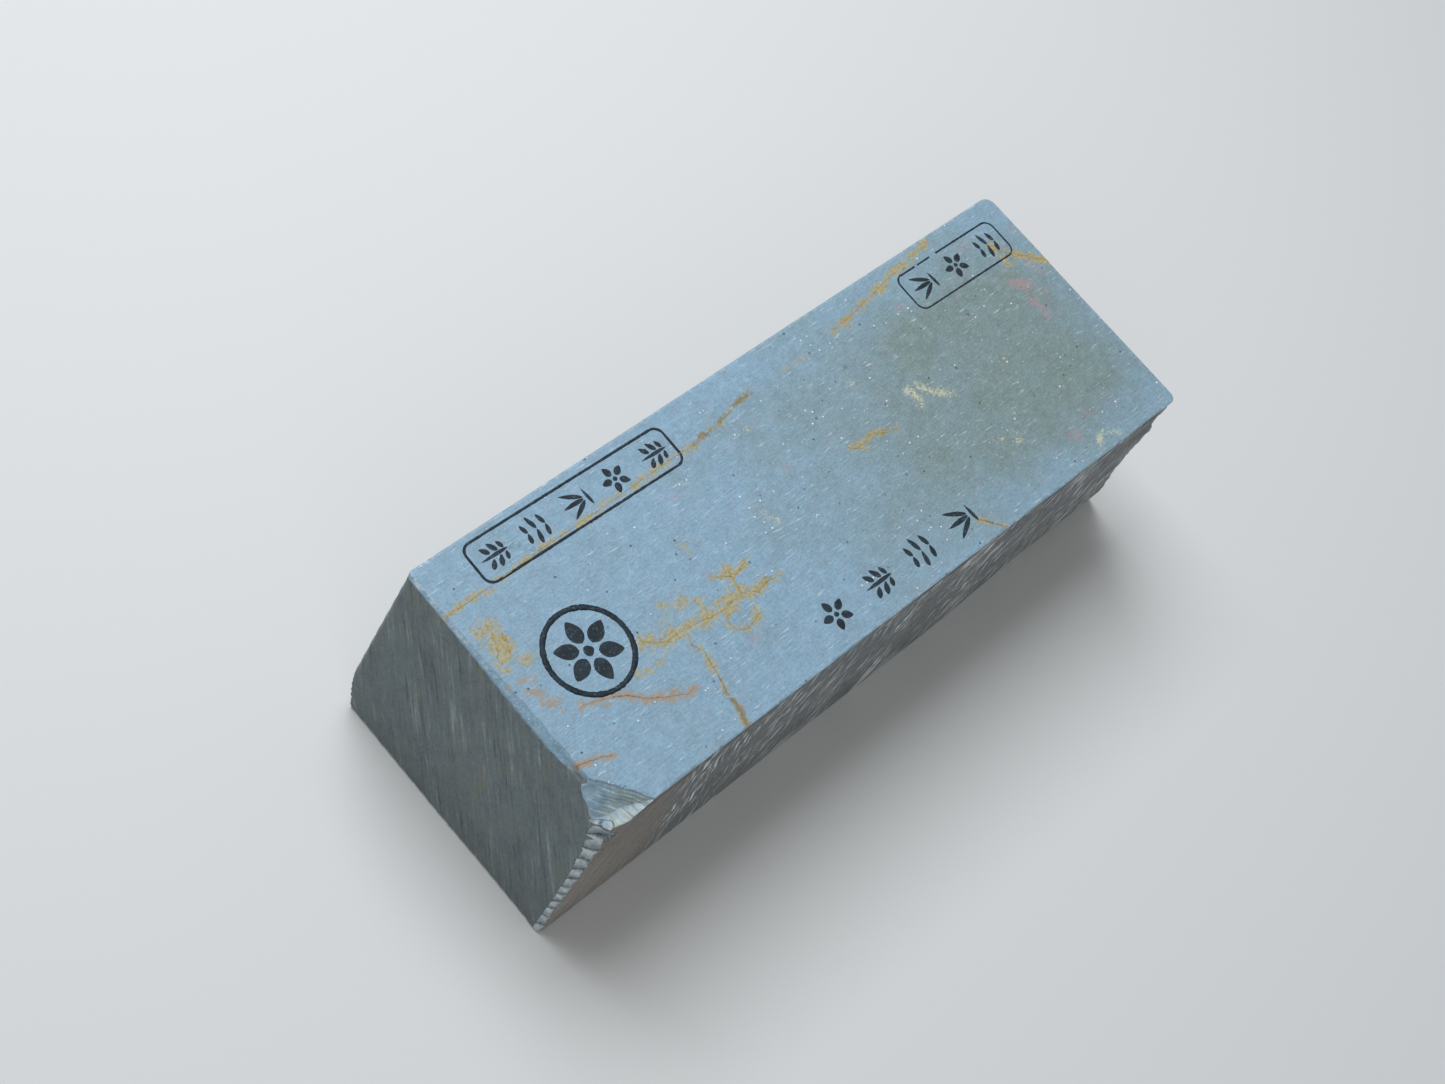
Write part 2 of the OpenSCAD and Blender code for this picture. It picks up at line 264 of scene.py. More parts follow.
def ledges(p):
    """Above zero where the ladder of ledges came off the near upright edge."""
    x, y, z = p.T
    down = HEIGHT - z
    from_side = y - broken_y(z)
    reach = 1.9 + 5.0 * np.exp(-(down - 9.5) / 12.0)
    rung = ledge_rung(p)
    step = saw(rung)
    profile = np.where(step < 0.82, 1 - step / 0.82, (step - 0.82) / 0.18)
    size = 0.35 + 0.65 * np.abs(np.sin(2.3 * np.floor(rung)))
    bite = (1.1 + 1.6 * np.exp(-(down - 9.5) / 14.0)) * (0.3 + profile * size)
    share = np.clip(1 - from_side / reach, 0, 1) ** 0.6
    depth = bite * share * smooth(4.0, 6.0, down) * smooth(0.5, 4.0, z)
    inside_end = x - near_x(z)
    return np.where(share > 0, depth - inside_end, -1.0) * 0.8


def end_dish(p):
    """How far the near end is hollowed between a soft crease and the ledges."""
    x, y, z = p.T
    down = HEIGHT - z
    crease = 3.0 + 20.0 * np.exp(-(down - 3.0) / 16.0)
    return 0.06 * np.maximum(crease - (y - broken_y(z)), 0) * smooth(0.5, 5.0, z)


def scoop(p, r, depth, z):
    """Above zero inside a sphere that reaches depth behind the far broken corner at height z."""
    away = r - depth
    centre = np.array([far_x(z) + 0.64 * away, broken_y(z) - 0.77 * away, z])
    return r - np.linalg.norm(p - centre, axis=1)


def scoops(p):
    """Above zero where the two shallow scoops came off the far corner."""
    layers = saw((p[:, 2] + 0.12 * p[:, 0]) / 2.6)
    rough = 0.35 * rock_noise(p * [0.5, 1, 1], 4.0, 41) + 0.3 * layers - 0.4
    joined = np.maximum(*[scoop(p, *one) for one in SCOOPS])
    return (joined + rough) * 0.8


def stone_rule(p):
    x, y, z = p.T
    body = sawn_block(p)
    # roughness of each face, taken inwards only
    side_near = smooth(-6.0, -0.5, broken_y(z) - y)
    long_grain = p * [0.35, 1, 1]
    layer = saw((z + 0.06 * x + 0.8 * grid_noise(p, 14.0, 51)) / 5.5)
    broken_rough = 0.15 + 0.35 * rock_noise(long_grain, 5.0, 52) + 0.35 * layer
    below_rim = smooth(0.0, 2.0, HEIGHT - z)
    body = body + side_near * broken_rough * below_rim * smooth(2, 16, z) * smooth(14, 34, x - X_NEAR)
    body = body - 0.3 * side_near * smooth(14, 2, z)
    near_end = smooth(-5.0, -0.5, near_x(z) - x)
    saw_wave = 0.05 * np.sin((y * 0.86 - z * 0.51) * 2 * math.pi / 3.3) + 0.1 * grid_noise(p, 16.0, 53)
    body = body + near_end * (0.12 + saw_wave + end_dish(p)) * below_rim
    body = np.maximum(body, chip(p))
    body = np.maximum(body, ledges(p))
    return round_join(body, scoops(p), 0.6)


# %% [markdown]
# ## From rule to mesh
# Marching over a grid of cells would give stair-stepped flats. Instead a box of even quads is laid
# on the block, cut finer only where something small happens (`subdivide_edges` with grid fill keeps
# it closed), and every point then slides inwards until it meets the rule's surface. Flats stay flat
# and the breaks get the points they need.

# %% Box of quads
GRID = {"x": 1.25, "y": 1.2, "z": 1.1}


def steps(length, size):
    return np.linspace(0, 1, max(2, round(length / size)) + 1)


def box_of_quads():
    u = steps(X_FAR - X_NEAR, GRID["x"])
    v = steps(Y_STRAIGHT - Y_BROKEN, GRID["y"])
    w = steps(HEIGHT, GRID["z"])
    shape = (len(u), len(v), len(w))
    at_surface = np.zeros(shape, bool)
    for axis in range(3):
        at_surface[(slice(None),) * axis + (0,)] = True
        at_surface[(slice(None),) * axis + (-1,)] = True
    number = np.full(shape, -1)
    number[at_surface] = np.arange(at_surface.sum())
    i, j, k = np.nonzero(at_surface)
    z = w[k] * HEIGHT
    x = near_x(z) + u[i] * (far_x(z) - near_x(z))
    y = broken_y(z) + v[j] * (Y_STRAIGHT - broken_y(z))
    quads = []
    for axis in range(3):
        for side in (0, -1):
            sheet = np.take(number, side, axis=axis)
            a, b, c, d = sheet[:-1, :-1], sheet[1:, :-1], sheet[1:, 1:], sheet[:-1, 1:]
            ring = np.stack([a, b, c, d], -1).reshape(-1, 4)
            outward = (side == -1) != (axis == 1)
            quads.append(ring if outward else ring[:, ::-1])
    return np.stack([x, y, z], 1), np.concatenate(quads)


block_points, block_quads = box_of_quads()
print("box of quads:", len(block_points), "points", len(block_quads), "quads")


# %% Finer quads where the stone is broken or worn
def face_distances(p):
    """Distances inwards from the six flat faces, as columns."""
    x, y, z = p.T
    return np.stack([x - near_x(z), far_x(z) - x, y - broken_y(z), Y_STRAIGHT - y, z, HEIGHT - z], 1)


def wants_finer(middles, level):
    d = face_distances(middles)
    second = np.sort(d, axis=1)[:, 1]
    near_chip = (d[:, 0] < 13) & (d[:, 2] < 15) & (d[:, 5] < 13)
    near_ladder = (d[:, 0] < 1.5) & (d[:, 2] < 8)
    near_scoop = (d[:, 1] < 16) & (d[:, 2] < 14)
    edge = second < (2.2 if level == 0 else 0.0)
    top_slope = (d[:, 0] < 3.0) & (d[:, 5] < 3.0)
    if level == 0:
        return near_chip | near_ladder | near_scoop | edge
    return near_chip | near_ladder | top_slope


mesh = bpy.data.meshes.new("stone_block_finished")
mesh.from_pydata(block_points.tolist(), [], block_quads.tolist())
block_mesh = bmesh.new()
block_mesh.from_mesh(mesh)
for level in range(2):
    middles = np.array([f.calc_center_median() for f in block_mesh.faces])
    chosen = wants_finer(middles, level)
    edges = {e for f, yes in zip(block_mesh.faces, chosen) if yes for e in f.edges}
    bmesh.ops.subdivide_edges(block_mesh, edges=list(edges), cuts=1, use_grid_fill=True)
    print("level", level, "quads now", len(block_mesh.faces))
bmesh.ops.triangulate(block_mesh, faces=[f for f in block_mesh.faces if len(f.verts) > 4])

# %% Slide every point onto the rule's surface
INWARDS = np.array([[1, 0, 0], [-1, 0, 0], [0, 1, 0], [0, -1, 0], [0, 0, 1], [0, 0, -1.0]])
BLEND_WIDTH = 5.0
SLIDE_STEPS = 34

start = np.array([v.co for v in block_mesh.verts])
pull = np.exp(-((face_distances(start) / BLEND_WIDTH) ** 2)) @ INWARDS
pull = pull / np.linalg.norm(pull, axis=1, keepdims=True)
travel = np.full(len(start), -0.3)
for _ in range(SLIDE_STEPS):
    travel = travel + 0.75 * stone_rule(start + pull * travel[:, None])
finished = start + pull * travel[:, None]
for vert, co in zip(block_mesh.verts, finished * MM):
    vert.co = co
bmesh.ops.recalc_face_normals(block_mesh, faces=block_mesh.faces)
block_mesh.to_mesh(mesh)
block_mesh.free()
triangles = sum(len(p.vertices) - 2 for p in mesh.polygons)
print("deepest cut", round(float(travel.max()), 2), "mm; triangles", triangles)

# %% [markdown]
# ## Where each finish lies
# The block shows four finishes: honed on top, sawn on the ends and the straight side, broken on the
# long side and shell-broken on the chip. Painting masks by hand would not follow the mesh, so each
# point gets a number from the same rules that shaped it, stored as an attribute for the shader.

# %% Finish masks
def store(mesh, name, values):
    attribute = mesh.attributes.new(name, "FLOAT", "POINT")
    attribute.data.foreach_set("value", np.asarray(values, np.float32))


x, y, z = finished.T
distances = face_distances(finished)
broken_mask = smooth(2.4, 0.9, distances[:, 2]) * smooth(0.5, 1.4, distances[:, 5])
scoop_mask = smooth(-0.5, -0.1, scoops(finished))
chip_mask = smooth(-0.6, -0.15, chip(finished)) * smooth(0.3, 0.6, HEIGHT - z)
ladder_mask = smooth(-0.45, -0.1, ledges(finished)) * smooth(7.0, 9.0, HEIGHT - z)
honed_mask = np.maximum(smooth(0.9, 0.3, distances[:, 5]), smooth(-0.7, -0.3, near_slope(finished)))
store(mesh, "honed", honed_mask * (1 - chip_mask))
store(mesh, "broken", np.maximum(broken_mask, scoop_mask))
store(mesh, "chip", chip_mask)
store(mesh, "ladder", ladder_mask)
store(mesh, "tread", ledge_phase(finished))
along_shell, into_shell = on_shell(finished)
store(mesh, "shell_along", along_shell)
store(mesh, "shell_inwards", into_shell)
# pale edges: bruised by wear, with painted glint along the near end's top edge and painted light along the
# foot
rim_share = np.where((x < X_NEAR + 8) | (z < 5), 1.0, 0.35)
store(mesh, "rim", rim_share * smooth(1.2, 0.35, np.sort(distances, axis=1)[:, 1]))
# a band about 1 to 4 mm below the top edge, where the broken side gets painted shade
store(mesh, "shade_under_rim", smooth(0.4, 1.4, distances[:, 5]) * smooth(5.5, 2.0, distances[:, 5]))
print("points on the chip", int((chip_mask > 0.5).sum()), "on ledges", int((ladder_mask > 0.5).sum()))

# %% [markdown]
# ## Veins and stains as routes
# Iron-rich water crept along cracks of the slate and left ochre, rust and pink stains. Each is a
# route across the honing face with a width; the nearest route's distance, as a share of its width,
# tells the shader how strongly to stain. Routes are in millimetres from the face's middle.

# %% Routes
LONG_VEIN = [(-103, 23.8), (-92, 23.9), (-70, 24.7), (-50, 24.8), (-33, 25.3), (-21, 25.2), (-8, 26.9),
             (1, 28.5), (12, 28.4), (22, 28.3), (33, 29.5), (50, 32), (60, 33.7), (75, 36)]
BRANCH_MAIN = [(-68.5, -6.4), (-63, -10.3), (-55, -10.4), (-47, -12), (-42, -11.3), (-37, -12)]
BRANCH_UP = [(-39.2, -11.8), (-38.3, -8), (-37.3, -4)]
BRANCH_ARM = [(-38.6, -7.6), (-35, -6.2), (-32, -5.6)]
BRANCH_LEFT_ARM = [(-37.8, -6.8), (-40, -5.2), (-42.5, -3.9)]
BRANCH_HOOK = [(-45, -11.4), (-46.5, -14), (-47.2, -16.5), (-45, -18.8), (-41.5, -18.6), (-38.5, -16.7)]
BRANCH_RIGHT = [(-38.4, -11.4), (-35, -13.4), (-32, -12.4), (-27, -13.3)]
CROSS_VEIN = [(-57, -11.2), (-58.6, -14), (-57, -17), (-58, -21.6), (-59.5, -28), (-60, -33), (-61.3, -37.2)]
BROWN_BAND = [(-91, -10.8), (-87, -11.8), (-83, -13.2), (-79.5, -15.2), (-77, -18), (-74, -19.6),
              (-70.5, -21.6), (-67.5, -22.9), (-65, -22.6)]
CORNER_VEIN = [(-102, -20.8), (-99, -21.6), (-96.5, -22.3), (-94, -23.3), (-92.5, -24.1)]
CENTRE_VEIN = [(12, 2.7), (14, 1.4), (17, 1.2), (20, 2), (23, 1), (25.5, 0), (28, -0.3)]
FAR_VEIN = [(91, 25.5), (92, 22.6), (94, 21.1), (98, 17.2), (101, 14.7), (102.3, 13)]
SIDE_EDGE_VEIN = [(27, -31), (29, -33), (31, -35.5), (32.4, -37.2)]
# each stain: attribute, route, reach in mm, strength
STAINS = [
    ("gold", LONG_VEIN[:7], 1.3, 0.75), ("gold", LONG_VEIN[5:8], 1.3, 0.8),
    ("gold", LONG_VEIN[8:10], 1.0, 0.35), ("gold", LONG_VEIN[10:], 1.8, 0.9),
    ("gold", BRANCH_MAIN, 3.0, 0.95), ("gold", BRANCH_UP, 1.8, 0.95), ("gold", BRANCH_ARM, 1.4, 0.8),
    ("gold", BRANCH_LEFT_ARM, 1.4, 0.8), ("gold", BRANCH_HOOK, 1.9, 0.8), ("gold", BRANCH_RIGHT, 1.6, 0.85),
    ("gold", [(-74, -12.3), (-69, -13.8), (-63, -11.4)], 1.6, 0.6),
    ("gold", [(-58, -3), (-53, -4.6), (-49, -7.2)], 2.0, 0.6),
    ("gold", [(-54, -2.2), (-51, -3.5)], 1.4, 0.6), ("gold", [(-61, -5), (-59, -5.6)], 1.5, 0.5),
    ("gold", CROSS_VEIN, 1.5, 0.75), ("gold", [(-97, 8), (-96, 11), (-96.5, 15)], 5.0, 0.95),
    ("gold", [(-93.5, 5.4), (-91.5, 5)], 1.8, 0.6), ("gold", CENTRE_VEIN, 1.5, 0.8),
    ("gold", FAR_VEIN, 2.2, 0.85), ("gold", [(91, 20), (92.5, 19)], 2.0, 0.7),
    ("gold", SIDE_EDGE_VEIN, 1.5, 0.7), ("gold", [(-42.5, 6.4), (-42.2, 4.8)], 1.3, 0.6),
    ("gold", [(-27, 4.4), (-27.2, 3.2)], 1.2, 0.5), ("rust", BROWN_BAND, 1.6, 0.95),
    ("rust", CORNER_VEIN, 1.4, 0.9), ("rust", [(-101, 2.5), (-98, 1.8), (-95, 0.5)], 1.3, 0.65),
    ("rust", [(-99, -1), (-96, -2.8)], 1.3, 0.6),
    ("rust", [(-97.5, -4.5), (-96, -6.4), (-94, -7.2)], 1.5, 0.7),
    ("rust", [(-96, -8.4), (-95, -9)], 1.6, 0.6), ("rust", [(-92, 4.8), (-89.5, 2.5)], 1.2, 0.4),
    ("rust", LONG_VEIN[10:12], 1.0, 0.6), ("pink", [(88, 13.5), (91, 10.5)], 3.0, 0.45),
    ("pink", [(89, 6), (89.2, 2)], 2.4, 0.6), ("pink", [(96.5, 14), (98, 12.5)], 2.2, 0.45),
    ("pink", [(92, 9), (95, 6.5)], 1.6, 0.5), ("pink", [(67.5, -28), (69.5, -29.5)], 1.8, 0.8),
    ("pink", [(76, -25.5), (79, -27)], 1.8, 0.55), ("pink", [(54, 25.5), (54.6, 24.5)], 1.4, 0.5),
    ("pink", [(-6, 7.2), (-5, 6.8)], 1.5, 0.6), ("pink", [(9, 6), (10, 7)], 1.4, 0.35),
    ("pink", [(-37, 18), (-34, 17)], 1.8, 0.3), ("pink", [(82, 30), (86, 28)], 2.4, 0.3),
    ("pink", [(100, 27), (101, 26)], 1.6, 0.35), ("pink", [(-47, -22), (-44, -21.5)], 1.8, 0.35),
    ("cream", [(38, 6), (38.6, 3), (38.4, 1)], 1.6, 0.75),
    ("cream", [(41, 6), (44, 2.5), (48.5, -2)], 1.5, 0.65),
    ("cream", [(72.5, -34.5), (75, -33), (78, -34), (80, -35.5)], 1.4, 0.8),
    ("cream", [(67, -1.5), (68, -.5)], 1.4, 0.5), ("cream", [(-19.5, 1), (-18, -1.5)], 1.8, 0.4),
    ("cream", [(26, 16), (27, 17)], 1.4, 0.3), ("cream", [(51, -18), (56, -22)], 1.8, 0.35),
    ("cream", [(-8.5, 19), (-7.5, 21)], 1.4, 0.3), ("crack", LONG_VEIN[5:8], 0.9, 0.9),
    ("crack", CROSS_VEIN[4:], 0.8, 0.9), ("crack", CENTRE_VEIN[4:], 0.8, 0.6),
    ("crack", [(-79, 30), (-75, 26.5), (-71, 22.6)], 0.7, 0.5), ("crack", BRANCH_RIGHT[2:], 0.7, 0.6),
    ("crack", [(28, 20), (29, 20.2)], 0.9, 0.6),
]


def distance_to_route(p, route):
    """Distance in the plane of the face from points p to a route."""
    pts = np.array(route) + FACE_CENTRE
    best = np.full(len(p), 1e9)
    for a, b in zip(pts[:-1], pts[1:]):
        t = np.clip((p - a) @ (b - a) / ((b - a) @ (b - a)), 0, 1)
        best = np.minimum(best, np.linalg.norm(p - a - t[:, None] * (b - a), axis=1))
    return best


flat = finished[:, :2]
strength = {name: np.zeros(len(flat)) for name in ("gold", "rust", "pink", "cream", "crack")}
for name, route, reach, most in STAINS:
    here = most * np.clip(1 - distance_to_route(flat, route) / reach, 0, 1)
    strength[name] = np.maximum(strength[name], here)
fade_down = smooth(7.0, 1.5, HEIGHT - z)
for name, values in strength.items():
    store(mesh, name, values * fade_down)
# greener and darker towards the far end: a greener zone of the slate, with painted shade making the far half
# darker
green_and_shade = smooth(-45, 65, x) * (1 - 0.75 * smooth(17, 36, np.abs(y + 1))) * (1 - 0.4 * smooth(88, 103, x))
store(mesh, "green_and_shade", green_and_shade)
print("stains stored:", ", ".join(f"{k} {int((v > 0.3).sum())} points" for k, v in strength.items()))

# %% The finished block takes the CAD block's place
stone = bpy.data.objects.new("stone_block_finished", mesh)
bpy.context.scene.collection.objects.link(stone)
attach(stone, "root")
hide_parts("stone_block")

# %% [markdown]
# ## Colours and nodes
# Colours are written as the sRGB hex values that a colour picker shows and turned linear by one
# function, because shaders work in linear light. One small function adds a node, sets what it is
# told and links what it is given, so a material reads as a list of its steps.

# %% Helpers for materials
def hex_colour(code):
    parts = [int(code[i : i + 2], 16) / 255 for i in (1, 3, 5)]
    return (*[c / 12.92 if c <= 0.04045 else ((c + 0.055) / 1.055) ** 2.4 for c in parts], 1.0)


def add(tree, kind, inputs=None, out=0, **settings):
    """Adds a node, sets its settings and inputs (a socket is linked), and gives back one output."""
    node = tree.nodes.new(kind)
    for key, value in settings.items():
        setattr(node, key, value)
    for key, value in (inputs or {}).items():
        if isinstance(value, bpy.types.NodeSocket):
            tree.links.new(value, node.inputs[key])
        else:
            node.inputs[key].default_value = value
    return node.outputs[out] if node.outputs else node


def grains(size_mm):
    """Scale of a noise on Object coordinates whose grains are size_mm across."""
    return 1.0 / (size_mm * MM)


def new_material(name):
    material = bpy.data.materials.new(name)
    material.use_nodes = True
    material.node_tree.nodes.clear()
    return material, material.node_tree

# %% [markdown]
# ## Slate, finished four ways
# Honed slate is smooth and dull with the blue-grey of its fine silica; sawn slate is greyer, because
# the saw leaves crushed stone in its grooves; broken slate glints silver where its layers tear; the
# shell of the chip shows pale, iron-stained layers. One material mixes the four by the stored masks,
# so that they meet along the real edges. Each finish is a function that adds its own nodes.

# %% Slate colours
# the green slate tone is also darker than the blue, as painted shade on the far half
BLUE_SLATE, SHADED_GREEN_SLATE = hex_colour("#82a1b3"), hex_colour("#758884")
# the near-white pale is for pale grains and scratches, drawn bright as painted glints
PALE_MARK_AND_GLINT, DARK_SPECK = hex_colour("#d9e6ee"), hex_colour("#4d6068")
# the pale sawn tone is saw dust in the grooves, and also serves as painted light along the broken side's foot
SAWN_GREY, SAW_DUST_AND_FOOT_LIGHT, SAWN_OLIVE = hex_colour("#727d7f"), hex_colour("#a9b4b6"), hex_colour("#77765f")
# the dark grey is dark slate and also painted shade; the pale grey is worn stone and also painted light and
# glints
DARK_SLATE_AND_SHADE, PALE_WEAR_AND_GLINT = hex_colour("#474f52"), hex_colour("#c2ced2")
# the silver is pale scratches on broken layers, drawn bright as painted sheen
BROKEN_GREY, BROKEN_BROWN, PALE_SCRATCH_AND_SHEEN = hex_colour("#7f8485"), hex_colour("#918b85"), hex_colour("#eef1f2")
CHIP_PALE, CHIP_BLUE, CHIP_OCHRE = hex_colour("#a9b6b3"), hex_colour("#93b0c3"), hex_colour("#a89a70")
OCHRE, OCHRE_DARK = hex_colour("#b5a66e"), hex_colour("#96834f")
RUST, PINK, CREAM = hex_colour("#a38762"), hex_colour("#b0868a"), hex_colour("#cdc8a4")
MAUVE = hex_colour("#9d9aae")
CRACK = hex_colour("#4a4136")


# %% Honed face
def speckle(tree, place, size_mm, share, soft=0.12):
    """A mask of scattered round specks: the share of cells that hold one, each size_mm across."""
    spacing = {"Vector": place, "Scale": grains(size_mm * 2.2)}
    cell = add(tree, "ShaderNodeTexVoronoi", spacing, out="Distance")
    pick = add(tree, "ShaderNodeTexVoronoi", spacing, out="Color")
    chosen = add(tree, "ShaderNodeMapRange", {0: pick, 1: share, 2: share * 0.96, 3: 0.0, 4: 1.0})
    dot = add(tree, "ShaderNodeMapRange", {0: cell, 1: 0.26 + soft, 2: 0.26 - soft, 3: 0.0, 4: 1.0})
    return add(tree, "ShaderNodeMath", {0: chosen, 1: dot}, operation="MULTIPLY")


def scratches(tree, place, turn_deg, length_mm, width_mm, seed):
    """Fine parallel scratches that run at turn_deg in the plane of the face, fading in and out."""
    turned = add(tree, "ShaderNodeMapping", {"Vector": place, "Location": (seed, seed * 0.7, 0),
                 "Rotation": (0, 0, math.radians(turn_deg)), "Scale": (1 / length_mm, 1 / width_mm,
                                                                       1 / width_mm)})
    return add(tree, "ShaderNodeTexNoise", {"Vector": turned, "Scale": 1 / MM, "Detail": 2.0,
                                            "Roughness": 0.6})


def stain(tree, colour, place, name, stain_colour, size_mm, ragged, most=1.0):
    """Lays a stain on a colour where its attribute is strong, with a ragged, grainy edge."""
    field = add(tree, "ShaderNodeAttribute", out="Fac", attribute_name=name)
    grain = add(tree, "ShaderNodeTexNoise", {"Vector": place, "Scale": grains(size_mm), "Detail": 4.0,
                "Roughness": 0.7, "Distortion": 0.6})
    pushed = add(tree, "ShaderNodeMath", {0: grain, 1: ragged, 2: -0.5 * ragged}, operation="MULTIPLY_ADD")
    blotch = add(tree, "ShaderNodeTexNoise", {"Vector": place, "Scale": grains(3.4), "Detail": 2.0,
                                              "Distortion": 0.8})
    blotched = add(tree, "ShaderNodeMath", {0: blotch, 1: 2.2, 2: -1.1}, operation="MULTIPLY_ADD")
    pushed = add(tree, "ShaderNodeMath", {0: pushed, 1: blotched}, operation="ADD")
    total = add(tree, "ShaderNodeMath", {0: field, 1: pushed}, operation="ADD")
    present = add(tree, "ShaderNodeMapRange", {0: field, 1: 0.0, 2: 0.12, 3: 0.0, 4: 1.0})
    edge = add(tree, "ShaderNodeMapRange", {0: total, 1: 0.22, 2: 0.7, 3: 0.0, 4: most})
    mask = add(tree, "ShaderNodeMath", {0: edge, 1: present}, operation="MULTIPLY")
    return add(tree, "ShaderNodeMix", {0: mask, 6: colour, 7: stain_colour}, out=2, data_type="RGBA"), mask


def honed_face(tree, place):
    green_and_shade = add(tree, "ShaderNodeAttribute", out="Fac", attribute_name="green_and_shade")
    cloud = add(tree, "ShaderNodeTexNoise", {"Vector": place, "Scale": grains(14), "Detail": 5.0,
                                             "Roughness": 0.6})
    cloudy = add(tree, "ShaderNodeMath", {0: cloud, 1: 1.2, 2: -0.6}, operation="MULTIPLY_ADD")
    green_and_shade_share = add(tree, "ShaderNodeMath", {0: green_and_shade, 1: cloudy}, operation="ADD", use_clamp=True)
    # the far half mixes towards a darker green: the green is the slate's own, part of the darkening is
    # painted shade
    base = add(tree, "ShaderNodeMix", {0: green_and_shade_share, 6: BLUE_SLATE, 7: SHADED_GREEN_SLATE}, out=2, data_type="RGBA")
    tint = add(tree, "ShaderNodeTexNoise", {"Vector": place, "Scale": grains(2.6), "Detail": 4.0,
                                            "Roughness": 0.7})
    tint = add(tree, "ShaderNodeMapRange", {0: tint, 1: 0.5, 2: 0.75, 3: 0.0, 4: 0.35})
    base = add(tree, "ShaderNodeMix", {0: tint, 6: base, 7: MAUVE}, out=2, data_type="RGBA")
    fine = add(tree, "ShaderNodeTexNoise", {"Vector": place, "Scale": grains(0.7), "Detail": 3.0,
                                            "Roughness": 0.8})
    mottle = add(tree, "ShaderNodeTexNoise", {"Vector": place, "Scale": grains(3.2), "Detail": 4.0,
                                              "Roughness": 0.65})
    lines = scratches(tree, place, 12, 6.0, 0.5, 0.011)
    for turn, length, seed in ((-52, 4.0, 0.023), (71, 3.5, 0.031)):
        more = scratches(tree, place, turn, length, 0.5, seed)
        lines = add(tree, "ShaderNodeMath", {0: lines, 1: more}, operation="ADD")
    deep = add(tree, "ShaderNodeMapRange", {0: lines, 1: 1.72, 2: 1.95, 3: 0.0, 4: 0.5})
    tone = add(tree, "ShaderNodeMath", {0: fine, 1: 0.8, 2: 0.18}, operation="MULTIPLY_ADD")
    tone = add(tree, "ShaderNodeMath", {0: mottle, 1: 0.5, 2: tone}, operation="MULTIPLY_ADD")
    tone = add(tree, "ShaderNodeMath", {0: lines, 1: 0.12, 2: tone}, operation="MULTIPLY_ADD")
    toned = add(tree, "ShaderNodeVectorMath", {0: base, 3: tone}, operation="SCALE")
    colour = add(tree, "ShaderNodeMix", {0: deep, 6: toned, 7: PALE_MARK_AND_GLINT}, out=2, data_type="RGBA")
    dark = speckle(tree, place, 0.45, 0.1)
    colour = add(tree, "ShaderNodeMix", {0: dark, 6: colour, 7: DARK_SPECK}, out=2, data_type="RGBA")
    # pale specks: pale mineral grains, drawn near white as painted glints
    pale = speckle(tree, place, 0.55, 0.2, 0.07)
    patch = add(tree, "ShaderNodeTexNoise", {"Vector": place, "Scale": grains(9), "Detail": 2.0})
    patch = add(tree, "ShaderNodeMapRange", {0: patch, 1: 0.5, 2: 0.6, 3: 0.12, 4: 1.0})
    pale = add(tree, "ShaderNodeMath", {0: pale, 1: patch}, operation="MULTIPLY")
    colour = add(tree, "ShaderNodeMix", {0: pale, 6: colour, 7: PALE_MARK_AND_GLINT}, out=2, data_type="RGBA")
    ochre_tone = add(tree, "ShaderNodeTexNoise", {"Vector": place, "Scale": grains(0.8), "Detail": 3.0})
    ochre_tone = add(tree, "ShaderNodeMapRange", {0: ochre_tone, 1: 0.35, 2: 0.62, 3: 0.0, 4: 1.0})
    ochre = add(tree, "ShaderNodeMix", {0: ochre_tone, 6: OCHRE_DARK, 7: OCHRE}, out=2, data_type="RGBA")
    # attribute, colour, grain in mm, raggedness, most it covers
    for kind in (("gold", ochre, 0.9, 2.2, 0.85), ("rust", RUST, 0.8, 2.6, 0.75), ("pink", PINK, 0.5, 3.8,
                                                                                   0.55),
                 ("cream", CREAM, 0.6, 3.2, 0.8), ("crack", CRACK, 0.5, 1.6, 0.45)):
        colour, crack_mask = stain(tree, colour, place, *kind)
    relief = add(tree, "ShaderNodeMath", {0: lines, 1: 0.35, 2: fine}, operation="MULTIPLY_ADD")
    relief = add(tree, "ShaderNodeMath", {0: dark, 1: -1.5, 2: relief}, operation="MULTIPLY_ADD")
    relief = add(tree, "ShaderNodeMath", {0: pale, 1: 2.0, 2: relief}, operation="MULTIPLY_ADD")
    relief = add(tree, "ShaderNodeMath", {0: crack_mask, 1: -1.0, 2: relief}, operation="MULTIPLY_ADD")
    return colour, relief


